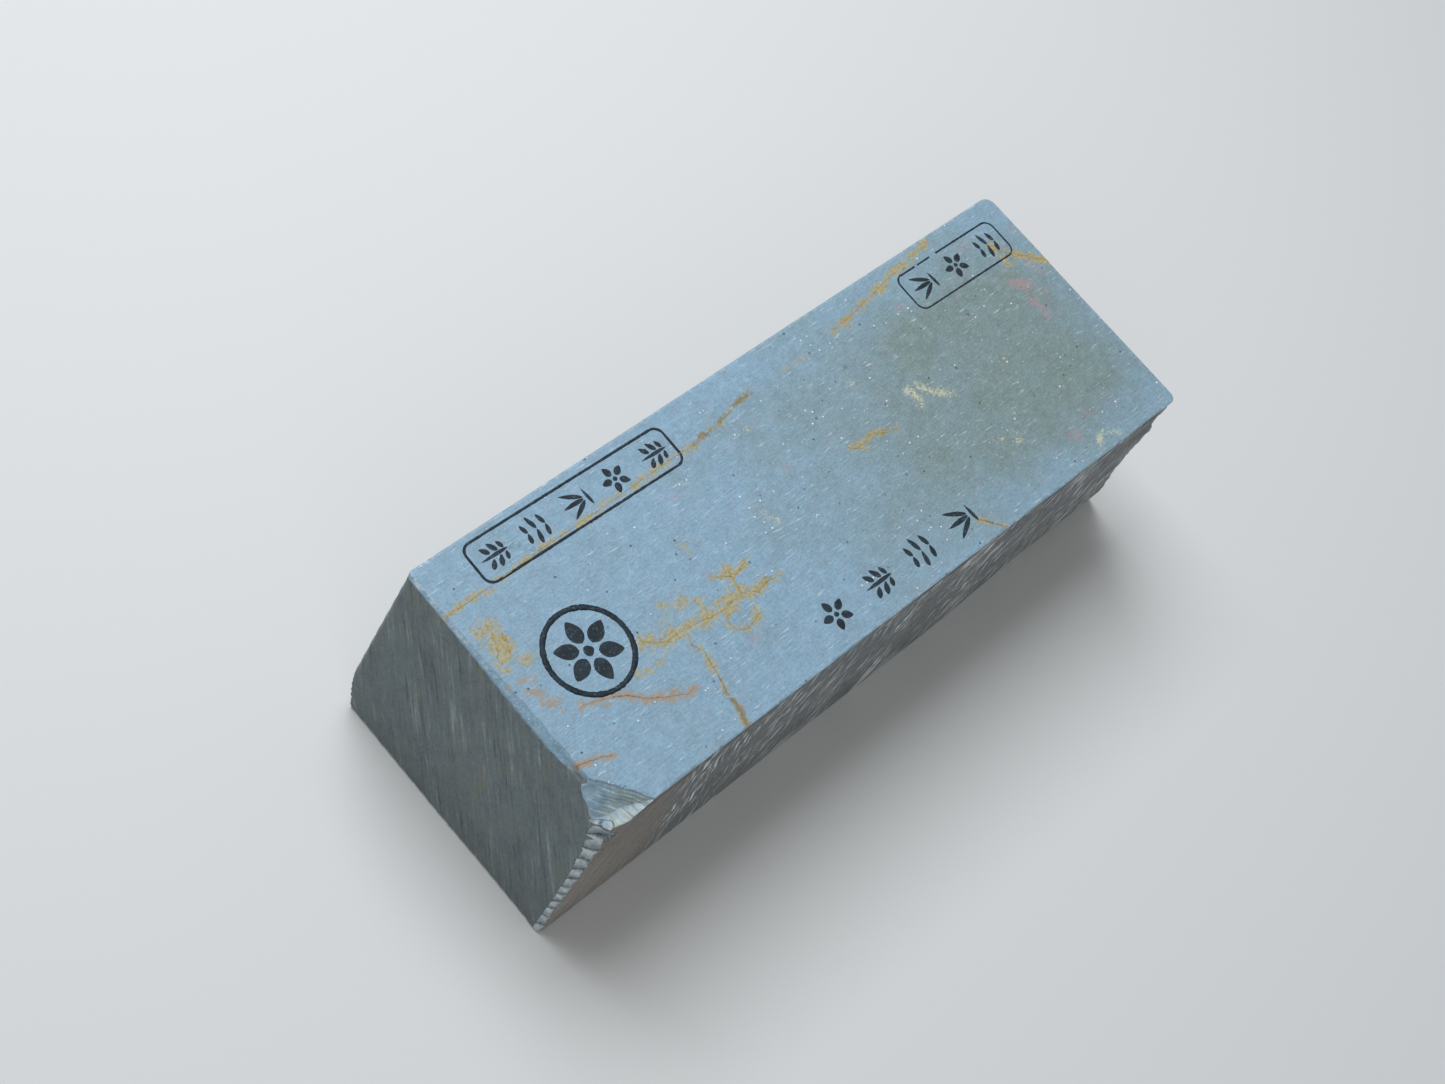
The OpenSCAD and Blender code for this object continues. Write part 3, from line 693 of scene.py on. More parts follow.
# %% Sawn ends
def sawn_face(tree, place):
    # real saw marks are about 0.5 mm apart; here they are drawn twice as coarse so that they show
    grooves = add(tree, "ShaderNodeMapping", {"Vector": place, "Rotation": (math.radians(31), 0, 0)})
    grooves = add(tree, "ShaderNodeVectorMath", {0: grooves, 1: (0.08, 1.0, 0.06)}, operation="MULTIPLY")
    wide = add(tree, "ShaderNodeTexNoise", {"Vector": grooves, "Scale": grains(2.4), "Detail": 3.0,
                                            "Roughness": 0.65})
    narrow = add(tree, "ShaderNodeTexNoise", {"Vector": grooves, "Scale": grains(0.8), "Detail": 2.0,
                                              "Roughness": 0.7})
    lines = add(tree, "ShaderNodeMath", {0: wide, 1: narrow}, operation="ADD")
    cloud = add(tree, "ShaderNodeTexNoise", {"Vector": place, "Scale": grains(11), "Detail": 4.0,
                                             "Roughness": 0.6})
    zone = add(tree, "ShaderNodeMapRange", {0: cloud, 1: 0.4, 2: 0.6, 3: 0.25, 4: 1.0})
    dust = add(tree, "ShaderNodeMapRange", {0: lines, 1: 1.07, 2: 1.28, 3: 0.0, 4: 0.6})
    dust = add(tree, "ShaderNodeMath", {0: dust, 1: zone}, operation="MULTIPLY")
    shade = add(tree, "ShaderNodeMapRange", {0: lines, 1: 0.93, 2: 0.78, 3: 0.0, 4: 0.6})
    shade = add(tree, "ShaderNodeMath", {0: shade, 1: zone}, operation="MULTIPLY")
    colour = add(tree, "ShaderNodeMix", {0: dust, 6: SAWN_GREY, 7: SAW_DUST_AND_FOOT_LIGHT}, out=2, data_type="RGBA")
    colour = add(tree, "ShaderNodeMix", {0: shade, 6: colour, 7: DARK_SLATE_AND_SHADE}, out=2, data_type="RGBA")
    patch = add(tree, "ShaderNodeTexNoise", {"Vector": place, "Scale": grains(6), "Detail": 4.0,
                                             "Roughness": 0.7})
    olive = add(tree, "ShaderNodeMapRange", {0: patch, 1: 0.56, 2: 0.7, 3: 0.0, 4: 0.6})
    colour = add(tree, "ShaderNodeMix", {0: olive, 6: colour, 7: SAWN_OLIVE}, out=2, data_type="RGBA")
    grit = add(tree, "ShaderNodeTexNoise", {"Vector": place, "Scale": grains(0.8), "Detail": 3.0,
                                            "Roughness": 0.8})
    tone = add(tree, "ShaderNodeMath", {0: grit, 1: 0.9, 2: 0.2}, operation="MULTIPLY_ADD")
    tone = add(tree, "ShaderNodeMath", {0: patch, 1: 0.7, 2: tone}, operation="MULTIPLY_ADD")
    # the sawn end is drawn darker towards the bottom
    up = add(tree, "ShaderNodeSeparateXYZ", {0: place}, out="Z")
    varied = add(tree, "ShaderNodeMapRange", {0: up, 1: 0.0, 2: 30 * MM, 3: 0.88, 4: 1.02})
    tone = add(tree, "ShaderNodeMath", {0: tone, 1: varied}, operation="MULTIPLY")
    colour = add(tree, "ShaderNodeVectorMath", {0: colour, 3: tone}, operation="SCALE")
    relief = add(tree, "ShaderNodeMath", {0: grit, 1: 0.8, 2: lines}, operation="MULTIPLY_ADD")
    return colour, relief


# %% Broken side
def broken_face(tree, place):
    streaks = []
    for turn, size in ((46, 0.8), (60, 0.8), (80, 0.8)):
        run = add(tree, "ShaderNodeMapping", {"Vector": place, "Rotation": (0, math.radians(turn), 0)})
        run = add(tree, "ShaderNodeVectorMath", {0: run, 1: (0.035, 0.15, 1.0)}, operation="MULTIPLY")
        streaks.append(add(tree, "ShaderNodeTexNoise", {"Vector": run, "Scale": grains(size), "Detail": 1.5,
                           "Roughness": 0.5}))
    along = add(tree, "ShaderNodeSeparateXYZ", {0: place}, out="X")
    up = add(tree, "ShaderNodeSeparateXYZ", {0: place}, out="Z")
    near = add(tree, "ShaderNodeMath", {0: up, 1: 0.17, 2: along}, operation="MULTIPLY_ADD")
    steep_zone = add(tree, "ShaderNodeMapRange", {0: along, 1: -46 * MM, 2: -56 * MM, 3: 0.0, 4: 1.0})
    flat_runs = add(tree, "ShaderNodeMath", {0: streaks[0], 1: streaks[1]}, operation="MAXIMUM")
    runs = add(tree, "ShaderNodeMix", {0: steep_zone, 2: flat_runs, 3: streaks[2]})
    patch = add(tree, "ShaderNodeTexNoise", {"Vector": place, "Scale": grains(13), "Detail": 3.0,
                                             "Roughness": 0.6})
    patch = add(tree, "ShaderNodeMapRange", {0: patch, 1: 0.4, 2: 0.52, 3: 0.1, 4: 1.0})
    patch = add(tree, "ShaderNodeMath", {0: patch, 1: steep_zone}, operation="MAXIMUM")
    varied = add(tree, "ShaderNodeMapRange", {0: near, 1: -74 * MM, 2: -66 * MM, 3: 0.05, 4: 1.0})
    patch = add(tree, "ShaderNodeMath", {0: patch, 1: varied}, operation="MULTIPLY")
    # silver streaks: pale scratches on the torn layers, drawn near white as painted sheen
    silver = add(tree, "ShaderNodeMapRange", {0: runs, 1: 0.58, 2: 0.66, 3: 0.0, 4: 1.0})
    silver = add(tree, "ShaderNodeMath", {0: silver, 1: patch}, operation="MULTIPLY")
    brown = add(tree, "ShaderNodeMapRange", {0: near, 1: -64 * MM, 2: -77 * MM, 3: 0.0, 4: 1.0})
    base = add(tree, "ShaderNodeMix", {0: brown, 6: BROKEN_GREY, 7: BROKEN_BROWN}, out=2, data_type="RGBA")
    # painted shade: the broken side darkened in a band just under its top edge
    rim = add(tree, "ShaderNodeAttribute", out="Fac", attribute_name="shade_under_rim")
    dark = add(tree, "ShaderNodeMath", {0: rim, 1: 0.55}, operation="MULTIPLY")
    base = add(tree, "ShaderNodeMix", {0: dark, 6: base, 7: DARK_SLATE_AND_SHADE}, out=2, data_type="RGBA")
    grit = add(tree, "ShaderNodeTexNoise", {"Vector": place, "Scale": grains(1.0), "Detail": 4.0,
                                            "Roughness": 0.8})
    streak = add(tree, "ShaderNodeMath", {0: streaks[2], 1: 1.0, 2: -0.28}, operation="MULTIPLY_ADD")
    tone = add(tree, "ShaderNodeMath", {0: grit, 1: 1.6, 2: streak}, operation="MULTIPLY_ADD")
    lower = add(tree, "ShaderNodeMapRange", {0: up, 1: 50 * MM, 2: 12 * MM, 3: -0.14, 4: 0.14})
    tone = add(tree, "ShaderNodeMath", {0: lower, 1: brown, 2: tone}, operation="MULTIPLY_ADD")
    base = add(tree, "ShaderNodeVectorMath", {0: base, 3: tone}, operation="SCALE")
    # painted rim light: the foot drawn pale along its lowest 3 mm
    foot = add(tree, "ShaderNodeMapRange", {0: up, 1: 3.2 * MM, 2: 0.8 * MM, 3: 0.0, 4: 0.45})
    base = add(tree, "ShaderNodeMix", {0: foot, 6: base, 7: SAW_DUST_AND_FOOT_LIGHT}, out=2, data_type="RGBA")
    colour = add(tree, "ShaderNodeMix", {0: silver, 6: base, 7: PALE_SCRATCH_AND_SHEEN}, out=2, data_type="RGBA")
    relief = add(tree, "ShaderNodeMath", {0: runs, 1: 2.0, 2: grit}, operation="MULTIPLY_ADD")
    return colour, relief


# %% Shell of the chip and ledges below it
def chip_face(tree, place):
    inwards = add(tree, "ShaderNodeAttribute", out="Fac", attribute_name="shell_inwards")
    along = add(tree, "ShaderNodeAttribute", out="Fac", attribute_name="shell_along")
    layered = add(tree, "ShaderNodeCombineXYZ", {"X": along, "Y": inwards})
    layered = add(tree, "ShaderNodeVectorMath", {0: layered, 1: (1.6, 1.0, 1.0)}, operation="MULTIPLY")
    layers = add(tree, "ShaderNodeTexNoise", {"Vector": layered, "Scale": 0.75, "Detail": 3.0,
                                              "Roughness": 0.7,
                 "Distortion": 0.5})
    cloud = add(tree, "ShaderNodeTexNoise", {"Vector": place, "Scale": grains(2.6), "Detail": 4.0,
                                             "Roughness": 0.7})
    shift = add(tree, "ShaderNodeMath", {0: cloud, 1: 0.8, 2: along}, operation="MULTIPLY_ADD")
    blue = add(tree, "ShaderNodeMapRange", {0: shift, 1: 1.1, 2: 0.75, 3: 0.2, 4: 0.9})
    colour = add(tree, "ShaderNodeMix", {0: blue, 6: CHIP_PALE, 7: CHIP_BLUE}, out=2, data_type="RGBA")
    ochre = add(tree, "ShaderNodeMapRange", {0: layers, 1: 0.52, 2: 0.62, 3: 0.0, 4: 0.65})
    plain = add(tree, "ShaderNodeMath", {0: 1.15, 1: blue}, operation="SUBTRACT", use_clamp=True)
    ochre = add(tree, "ShaderNodeMath", {0: ochre, 1: plain}, operation="MULTIPLY")
    colour = add(tree, "ShaderNodeMix", {0: ochre, 6: colour, 7: CHIP_OCHRE}, out=2, data_type="RGBA")
    gap = add(tree, "ShaderNodeMapRange", {0: layers, 1: 0.43, 2: 0.38, 3: 0.0, 4: 0.5})
    gap = add(tree, "ShaderNodeMath", {0: gap, 1: plain}, operation="MULTIPLY")
    colour = add(tree, "ShaderNodeMix", {0: gap, 6: colour, 7: DARK_SLATE_AND_SHADE}, out=2, data_type="RGBA")
    # painted glint: the shell's upper edge drawn pale
    lit_lip = add(tree, "ShaderNodeMapRange", {0: inwards, 1: 1.3, 2: 0.3, 3: 0.0, 4: 0.8})
    colour = add(tree, "ShaderNodeMix", {0: lit_lip, 6: colour, 7: PALE_WEAR_AND_GLINT}, out=2, data_type="RGBA")
    grit = add(tree, "ShaderNodeMath", {0: cloud, 1: 1.3, 2: 0.42}, operation="MULTIPLY_ADD")
    colour = add(tree, "ShaderNodeVectorMath", {0: colour, 3: grit}, operation="SCALE")
    return colour, layers


def ledge_face(tree, place):
    # the lips of the ledges are pale, freshly torn stone with painted light where the treads face up; the
    # hollows under them are painted shade
    phase = add(tree, "ShaderNodeAttribute", out="Fac", attribute_name="tread")
    cloud = add(tree, "ShaderNodeTexNoise", {"Vector": place, "Scale": grains(1.5), "Detail": 4.0,
                                             "Roughness": 0.7})
    shift = add(tree, "ShaderNodeMath", {0: cloud, 1: 0.5, 2: -0.25}, operation="MULTIPLY_ADD")
    level = add(tree, "ShaderNodeMath", {0: phase, 1: shift}, operation="ADD")
    lit_lip = add(tree, "ShaderNodeMapRange", {0: level, 1: 0.3, 2: 0.85, 3: 0.25, 4: 1.0})
    colour = add(tree, "ShaderNodeMix", {0: lit_lip, 6: SAWN_GREY, 7: PALE_WEAR_AND_GLINT}, out=2, data_type="RGBA")
    shaded_hollow = add(tree, "ShaderNodeMapRange", {0: level, 1: 0.22, 2: 0.06, 3: 0.0, 4: 0.75})
    colour = add(tree, "ShaderNodeMix", {0: shaded_hollow, 6: colour, 7: DARK_SLATE_AND_SHADE}, out=2, data_type="RGBA")
    grit = add(tree, "ShaderNodeMath", {0: cloud, 1: 1.2, 2: 0.4}, operation="MULTIPLY_ADD")
    colour = add(tree, "ShaderNodeVectorMath", {0: colour, 3: grit}, operation="SCALE")
    return colour, cloud


# %% Slate material
def lay_over(tree, under, over, mask_name, ragged):
    """Lays one finish over another where its mask says, with a slightly ragged border."""
    mask = add(tree, "ShaderNodeAttribute", out="Fac", attribute_name=mask_name)
    spread = add(tree, "ShaderNodeMath", {0: ragged, 1: 0.5, 2: -0.25}, operation="MULTIPLY_ADD")
    mask = add(tree, "ShaderNodeMath", {0: mask, 1: spread}, operation="ADD")
    mask = add(tree, "ShaderNodeMapRange", {0: mask, 1: 0.35, 2: 0.65, 3: 0.0, 4: 1.0})
    colour = add(tree, "ShaderNodeMix", {0: mask, 6: under[0], 7: over[0]}, out=2, data_type="RGBA")
    relief = add(tree, "ShaderNodeMix", {0: mask, 2: under[1], 3: over[1]})
    return colour, relief


def slate():
    # fine-grained siliceous slate: dull, almost no gloss even where it is lapped
    material, tree = new_material("blue_grey_slate")
    place = add(tree, "ShaderNodeTexCoord", out="Object")
    ragged = add(tree, "ShaderNodeTexNoise", {"Vector": place, "Scale": grains(1.2), "Detail": 3.0})
    finish = sawn_face(tree, place)
    finish = lay_over(tree, finish, broken_face(tree, place), "broken", ragged)
    finish = lay_over(tree, finish, ledge_face(tree, place), "ladder", ragged)
    finish = lay_over(tree, finish, chip_face(tree, place), "chip", ragged)
    honed = honed_face(tree, place)
    mask = add(tree, "ShaderNodeAttribute", out="Fac", attribute_name="honed")
    colour, relief = lay_over(tree, finish, honed, "honed", ragged)
    rim = add(tree, "ShaderNodeAttribute", out="Fac", attribute_name="rim")
    # pale edges: worn bruising, with painted glint and painted light along the edges
    bruise_and_glint = add(tree, "ShaderNodeMapRange", {0: ragged, 1: 0.42, 2: 0.66, 3: 0.0, 4: 0.85})
    bruise_and_glint = add(tree, "ShaderNodeMath", {0: bruise_and_glint, 1: rim}, operation="MULTIPLY")
    colour = add(tree, "ShaderNodeMix", {0: bruise_and_glint, 6: colour, 7: PALE_WEAR_AND_GLINT}, out=2, data_type="RGBA")
    roughness = add(tree, "ShaderNodeMapRange", {0: mask, 1: 0.0, 2: 1.0, 3: 0.8, 4: 0.55})
    bump_depth = add(tree, "ShaderNodeMapRange", {0: mask, 1: 0.0, 2: 1.0, 3: 1.0, 4: 0.6})
    bump = add(tree, "ShaderNodeBump", {"Height": relief, "Strength": bump_depth, "Distance": 0.35 * MM},
               out="Normal")
    shader = add(tree, "ShaderNodeBsdfPrincipled", {"Base Color": colour, "Roughness": roughness,
                                                    "Normal": bump,
                 "Specular IOR Level": 0.4, "IOR": 1.54})
    add(tree, "ShaderNodeOutputMaterial", {"Surface": shader})
    return material


stone.data.materials.append(slate())
print("slate material has", len(stone.data.materials[0].node_tree.nodes), "nodes")

# %% [markdown]
# ## Veins as ribbons
# On the real stone a vein is a sheet of mineral whose edge shows as a ragged line. A bevelled curve
# would be too even, so a Geometry Nodes tree walks the route, lets it wander, varies its width and
# sweeps a flat profile along it. Its sizes are inputs, so every vein uses the same tree.

# %% Geometry Nodes: vein
def input_id(tree, name):
    return next(s.identifier for s in tree.interface.items_tree if s.name == name and s.in_out == "INPUT")


def new_geometry_tree(name, inputs):
    tree = bpy.data.node_groups.new(name, "GeometryNodeTree")
    tree.interface.new_socket("Geometry", in_out="INPUT", socket_type="NodeSocketGeometry")
    for label, kind in inputs:
        tree.interface.new_socket(label, in_out="INPUT", socket_type=kind)
    tree.interface.new_socket("Geometry", in_out="OUTPUT", socket_type="NodeSocketGeometry")
    group_in = tree.nodes.new("NodeGroupInput")
    return tree, {s.name: s for s in group_in.outputs if s.name}


def flat_sweep(tree, curve, half_width, thickness):
    """Sweeps a square of half size 1 along a curve, then draws each point in to the sizes given."""
    position = add(tree, "GeometryNodeInputPosition")
    level = add(tree, "GeometryNodeSetCurveNormal", {"Curve": curve}, mode="Z_UP")
    stored = level
    for name, value, kind in (("half_width", half_width, "FLOAT"), ("centre", position, "FLOAT_VECTOR")):
        stored = add(tree, "GeometryNodeStoreNamedAttribute",
                     {"Geometry": stored, "Name": name, "Value": value}, data_type=kind, domain="POINT")
    profile = add(tree, "GeometryNodeCurvePrimitiveQuadrilateral", {"Width": 2.0, "Height": 2.0})
    tube = add(tree, "GeometryNodeCurveToMesh",
               {"Curve": stored, "Profile Curve": profile, "Fill Caps": True})
    middle = add(tree, "GeometryNodeInputNamedAttribute", {"Name": "centre"}, data_type="FLOAT_VECTOR")
    half = add(tree, "GeometryNodeInputNamedAttribute", {"Name": "half_width"}, data_type="FLOAT")
    out_from = add(tree, "ShaderNodeVectorMath", {0: position, 1: middle}, operation="SUBTRACT")
    squeeze = add(tree, "ShaderNodeCombineXYZ", {"X": half, "Y": half, "Z": thickness})
    drawn = add(tree, "ShaderNodeVectorMath", {0: out_from, 1: squeeze}, operation="MULTIPLY")
    final = add(tree, "ShaderNodeVectorMath", {0: middle, 1: drawn}, operation="ADD")
    return add(tree, "GeometryNodeSetPosition", {"Geometry": tube, "Position": final})


def finish_tree(tree, geometry, finish):
    real = add(tree, "GeometryNodeRealizeInstances", {"Geometry": geometry})
    done = add(tree, "GeometryNodeSetMaterial", {"Geometry": real, "Material": finish})
    outcome = tree.nodes.new("NodeGroupOutput")
    tree.links.new(done, outcome.inputs[0])


def vein_tree():
    tree, given = new_geometry_tree("vein_ribbon", [("Half width", "NodeSocketFloat"),
                                                    ("Wander", "NodeSocketFloat"),
                                    ("Thickness", "NodeSocketFloat"), ("Seed", "NodeSocketFloat"),
                                    ("Finish", "NodeSocketMaterial")])
    walk = add(tree, "GeometryNodeResampleCurve", {"Curve": given["Geometry"], "Length": 0.3 * MM},
               mode="LENGTH")
    position = add(tree, "GeometryNodeInputPosition")
    shift = add(tree, "ShaderNodeTexNoise", {"Vector": position, "W": given["Seed"], "Scale": grains(1.9),
                                             "Detail": 4.0,
                "Roughness": 0.75}, out="Color", noise_dimensions="4D")
    centred = add(tree, "ShaderNodeVectorMath", {0: shift, 1: (0.5, 0.5, 0.5)}, operation="SUBTRACT")
    in_face = add(tree, "ShaderNodeVectorMath", {0: centred, 1: (2, 2, 0)}, operation="MULTIPLY")
    offset = add(tree, "ShaderNodeVectorMath", {0: in_face, 3: given["Wander"]}, operation="SCALE")
    bent = add(tree, "GeometryNodeSetPosition", {"Geometry": walk, "Offset": offset})
    width = add(tree, "ShaderNodeTexNoise", {"Vector": position, "W": given["Seed"], "Scale": grains(3.6),
                                             "Detail": 5.0,
                "Roughness": 0.85}, noise_dimensions="4D")
    share = add(tree, "ShaderNodeMapRange", {0: width, 1: 0.45, 2: 0.66, 3: 0.0, 4: 1.4})
    along = add(tree, "GeometryNodeSplineParameter", out="Factor")
    ends = add(tree, "ShaderNodeMath", {0: along, 1: 0.5}, operation="SUBTRACT")
    ends = add(tree, "ShaderNodeMath", {0: ends}, operation="ABSOLUTE")
    taper = add(tree, "ShaderNodeMapRange", {0: ends, 1: 0.5, 2: 0.38, 3: 0.1, 4: 1.0})
    radius = add(tree, "ShaderNodeMath", {0: share, 1: taper}, operation="MULTIPLY")
    radius = add(tree, "ShaderNodeMath", {0: radius, 1: given["Half width"]}, operation="MULTIPLY")
    swept = flat_sweep(tree, bent, radius, given["Thickness"])
    finish_tree(tree, swept, given["Finish"])
    return tree


VEIN_TREE = vein_tree()
print("vein tree has", len(VEIN_TREE.nodes), "nodes")


# %% Run a tree and keep its mesh
def run_tree(name, source, tree, settings):
    """Evaluates a Geometry Nodes tree on a source object and returns a plain mesh object."""
    modifier = source.modifiers.new("build", "NODES")
    modifier.node_group = tree
    for key, value in settings.items():
        modifier[input_id(tree, key)] = value
    bpy.context.view_layer.update()
    evaluated = source.evaluated_get(bpy.context.evaluated_depsgraph_get())
    result = bpy.data.meshes.new_from_object(evaluated)
    source.modifiers.remove(modifier)
    bpy.data.objects.remove(source)
    result.name = name
    piece = bpy.data.objects.new(name, result)
    bpy.context.scene.collection.objects.link(piece)
    return piece


def keep(piece, node):
    """Hangs a finished piece on the body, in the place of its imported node."""
    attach(piece, "root")
    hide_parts(node)
    print(piece.name, len(piece.data.polygons), "faces")


def route_curve(name, routes, height_mm):
    data = bpy.data.curves.new(name, "CURVE")
    data.dimensions = "3D"
    for route in routes:
        spline = data.splines.new("POLY")
        spline.points.add(len(route) - 1)
        for point, (px, py) in zip(spline.points, route):
            point.co = (*(np.array([px, py]) + FACE_CENTRE) * MM, height_mm * MM, 1)
    source = bpy.data.objects.new(name, data)
    bpy.context.scene.collection.objects.link(source)
    return source


# %% [markdown]
# ## The mineral in the veins
# Ochre veins are quartz stained by limonite, rust-brown ones hold more iron. Both are dull and
# grainy, with dark pores, so the colour is mixed from three tones by a noise of sand-grain size.

# %% Vein materials
def vein_mineral(name, light, dark, pore, grain_mm):
    material, tree = new_material(name)
    place = add(tree, "ShaderNodeTexCoord", out="Object")
    sand = add(tree, "ShaderNodeTexNoise", {"Vector": place, "Scale": grains(grain_mm), "Detail": 4.0,
                                            "Roughness": 0.75})
    tone = add(tree, "ShaderNodeMapRange", {0: sand, 1: 0.36, 2: 0.6, 3: 0.0, 4: 1.0})
    colour = add(tree, "ShaderNodeMix", {0: tone, 6: hex_colour(dark), 7: hex_colour(light)}, out=2,
                 data_type="RGBA")
    pores = add(tree, "ShaderNodeTexNoise", {"Vector": place, "Scale": grains(grain_mm * 1.6), "Detail": 3.0})
    pores = add(tree, "ShaderNodeMapRange", {0: pores, 1: 0.38, 2: 0.3, 3: 0.0, 4: 0.8})
    colour = add(tree, "ShaderNodeMix", {0: pores, 6: colour, 7: hex_colour(pore)}, out=2,
                 data_type="RGBA")
    bump = add(tree, "ShaderNodeBump", {"Height": sand, "Strength": 0.5, "Distance": 0.1 * MM}, out="Normal")
    shader = add(tree, "ShaderNodeBsdfPrincipled", {"Base Color": colour, "Roughness": 0.8, "Normal": bump,
                 "Specular IOR Level": 0.35})
    add(tree, "ShaderNodeOutputMaterial", {"Surface": shader})
    return material


# limonite-stained quartz: dull, sandy ochre
LIMONITE = vein_mineral("ochre_limonite_quartz", "#b3a169", "#917e4f", "#63543a", 0.5)
# ironstone: dull rust brown
IRONSTONE = vein_mineral("rust_brown_ironstone", "#9f835f", "#84694b", "#5f4c3a", 0.5)

# %% Veins
VEIN_THICKNESS = 0.05
VEINS = [
    # node, routes, half width mm, wander mm, material, slot
    ("long_vein", [LONG_VEIN[:4], LONG_VEIN[3:8], LONG_VEIN[10:13]], 0.17, 0.3, LIMONITE, "gold_vein"),
    ("branching_vein", [BRANCH_MAIN, BRANCH_UP, BRANCH_ARM, BRANCH_LEFT_ARM, BRANCH_HOOK, BRANCH_RIGHT],
     0.24, 0.9, LIMONITE, "gold_vein"),
    ("cross_vein", [CROSS_VEIN], 0.18, 0.7, IRONSTONE, "brown_vein"),
    ("brown_band_vein", [BROWN_BAND], 0.26, 0.7, IRONSTONE, "brown_vein"),
    ("corner_vein", [CORNER_VEIN], 0.22, 0.6, IRONSTONE, "brown_vein"),
    ("centre_vein", [CENTRE_VEIN], 0.2, 0.7, LIMONITE, "gold_vein"),
    ("far_end_vein", [FAR_VEIN], 0.26, 0.8, LIMONITE, "gold_vein"),
    ("side_edge_vein", [SIDE_EDGE_VEIN], 0.25, 0.3, IRONSTONE, "brown_vein"),
    ("near_end_patch", [[(-99, 9), (-97, 12), (-96, 15)], [(-96, 8), (-94.5, 11), (-94, 14)]], 0.35, 1.2,
     LIMONITE,
     "gold_vein"),
]
for number, (node, routes, half_width, wander, mineral, slot) in enumerate(VEINS):
    inside = [[(max(px, -102.0), py) for px, py in route] for route in routes]
    piece = run_tree(node + "_finished", route_curve(node, inside, HEIGHT), VEIN_TREE,
                     {"Half width": half_width * MM, "Wander": wander * MM, "Thickness": VEIN_THICKNESS * MM,
                      "Seed": 3.0 + number, "Finish": mineral})
    keep(piece, node)

# %% [markdown]
# ## Ink ornaments
# The real stone carries brushed and stamped ink. Here the marks are plain ornaments: twigs, reeds,
# ripples and blossoms. Each is made of brush strokes, so one stroke mesh is repeated by a Geometry
# Nodes tree on points that hold each stroke's turn, length and width. Modelling every stroke by hand
# would give the same shapes with far more code.

# %% One brush stroke
INK_HEIGHT = 0.04


def brush_stroke():
    """A flat closed stroke of length 1 and width 1: a round head, a fuller belly and a thin tail."""
    ring = []
    half_points = 14
    for i in range(half_points + 1):
        t = i / half_points
        belly = math.sin(math.pi * t**0.8) ** 0.75
        ring.append((t - 0.5, 0.5 * belly))
    outline = ring + [(px, -py) for px, py in reversed(ring[1:-1])]
    shape = bmesh.new()
    low = [shape.verts.new((px, py, -1)) for px, py in outline]
    high = [shape.verts.new((px, py, 1)) for px, py in outline]
    shape.faces.new(list(reversed(low)))
    shape.faces.new(high)
    for i in range(len(outline)):
        j = (i + 1) % len(outline)
        shape.faces.new((low[i], low[j], high[j], high[i]))
    bmesh.ops.recalc_face_normals(shape, faces=shape.faces)
    data = bpy.data.meshes.new("brush_stroke")
    shape.to_mesh(data)
    shape.free()
    return bpy.data.objects.new("brush_stroke", data)


STROKE = brush_stroke()
bpy.context.scene.collection.objects.link(STROKE)


def twig():
    strokes = [(0, 0, 90, 1, 0.12)]
    for s in (-1, 1):
        strokes += [(s * 0.24, 0.2, s * 38, 0.36, 0.17), (s * 0.25, -0.08, s * 30, 0.4, 0.17),
                    (s * 0.2, -0.34, s * 20, 0.3, 0.14)]
    return strokes


def reeds():
    fan = [(0.5 * math.cos(math.radians(a)), -0.42 + 0.5 * math.sin(math.radians(a)), a, 0.78, 0.15)
           for a in (60, 90, 120)]
    return fan + [(0, -0.46, 4, 0.62, 0.11)]


def blossom(petals):
    turns = [90 + 360 / petals * i for i in range(petals)]
    ring = [(0.31 * math.cos(math.radians(a)), 0.31 * math.sin(math.radians(a)), a, 0.36,
             0.23) for a in turns]
    return ring + [(0, 0, 0, 0.16, 0.16)]


def ripples():
    return [(s * length / 4, level, s * 14, length * 0.5, 0.15)
            for level, length in ((0.34, 0.7), (0.02, 1), (-0.32, 0.8)) for s in (-1, 1)]


def placed(strokes, centre, turn, size):
    """Strokes of a motif of size 1, moved to their place on the face: x, y, turn, length, width in mm."""
    c, s = math.cos(math.radians(turn)), math.sin(math.radians(turn))
    return [(centre[0] + size * (c * px - s * py), centre[1] + size * (s * px + c * py), turn + a,
             size * l, size * w)
            for px, py, a, l, w in strokes]


def motif_row(motifs, centre, turn, length, size):
    pitch = length / len(motifs)
    found = []
    for i, motif in enumerate(motifs):
        along = -length / 2 + pitch * (i + 0.5)
        c, s = math.cos(math.radians(turn)), math.sin(math.radians(turn))
        found += placed(motif, (centre[0] + along * c, centre[1] + along * s), turn + 90, size)
    return found


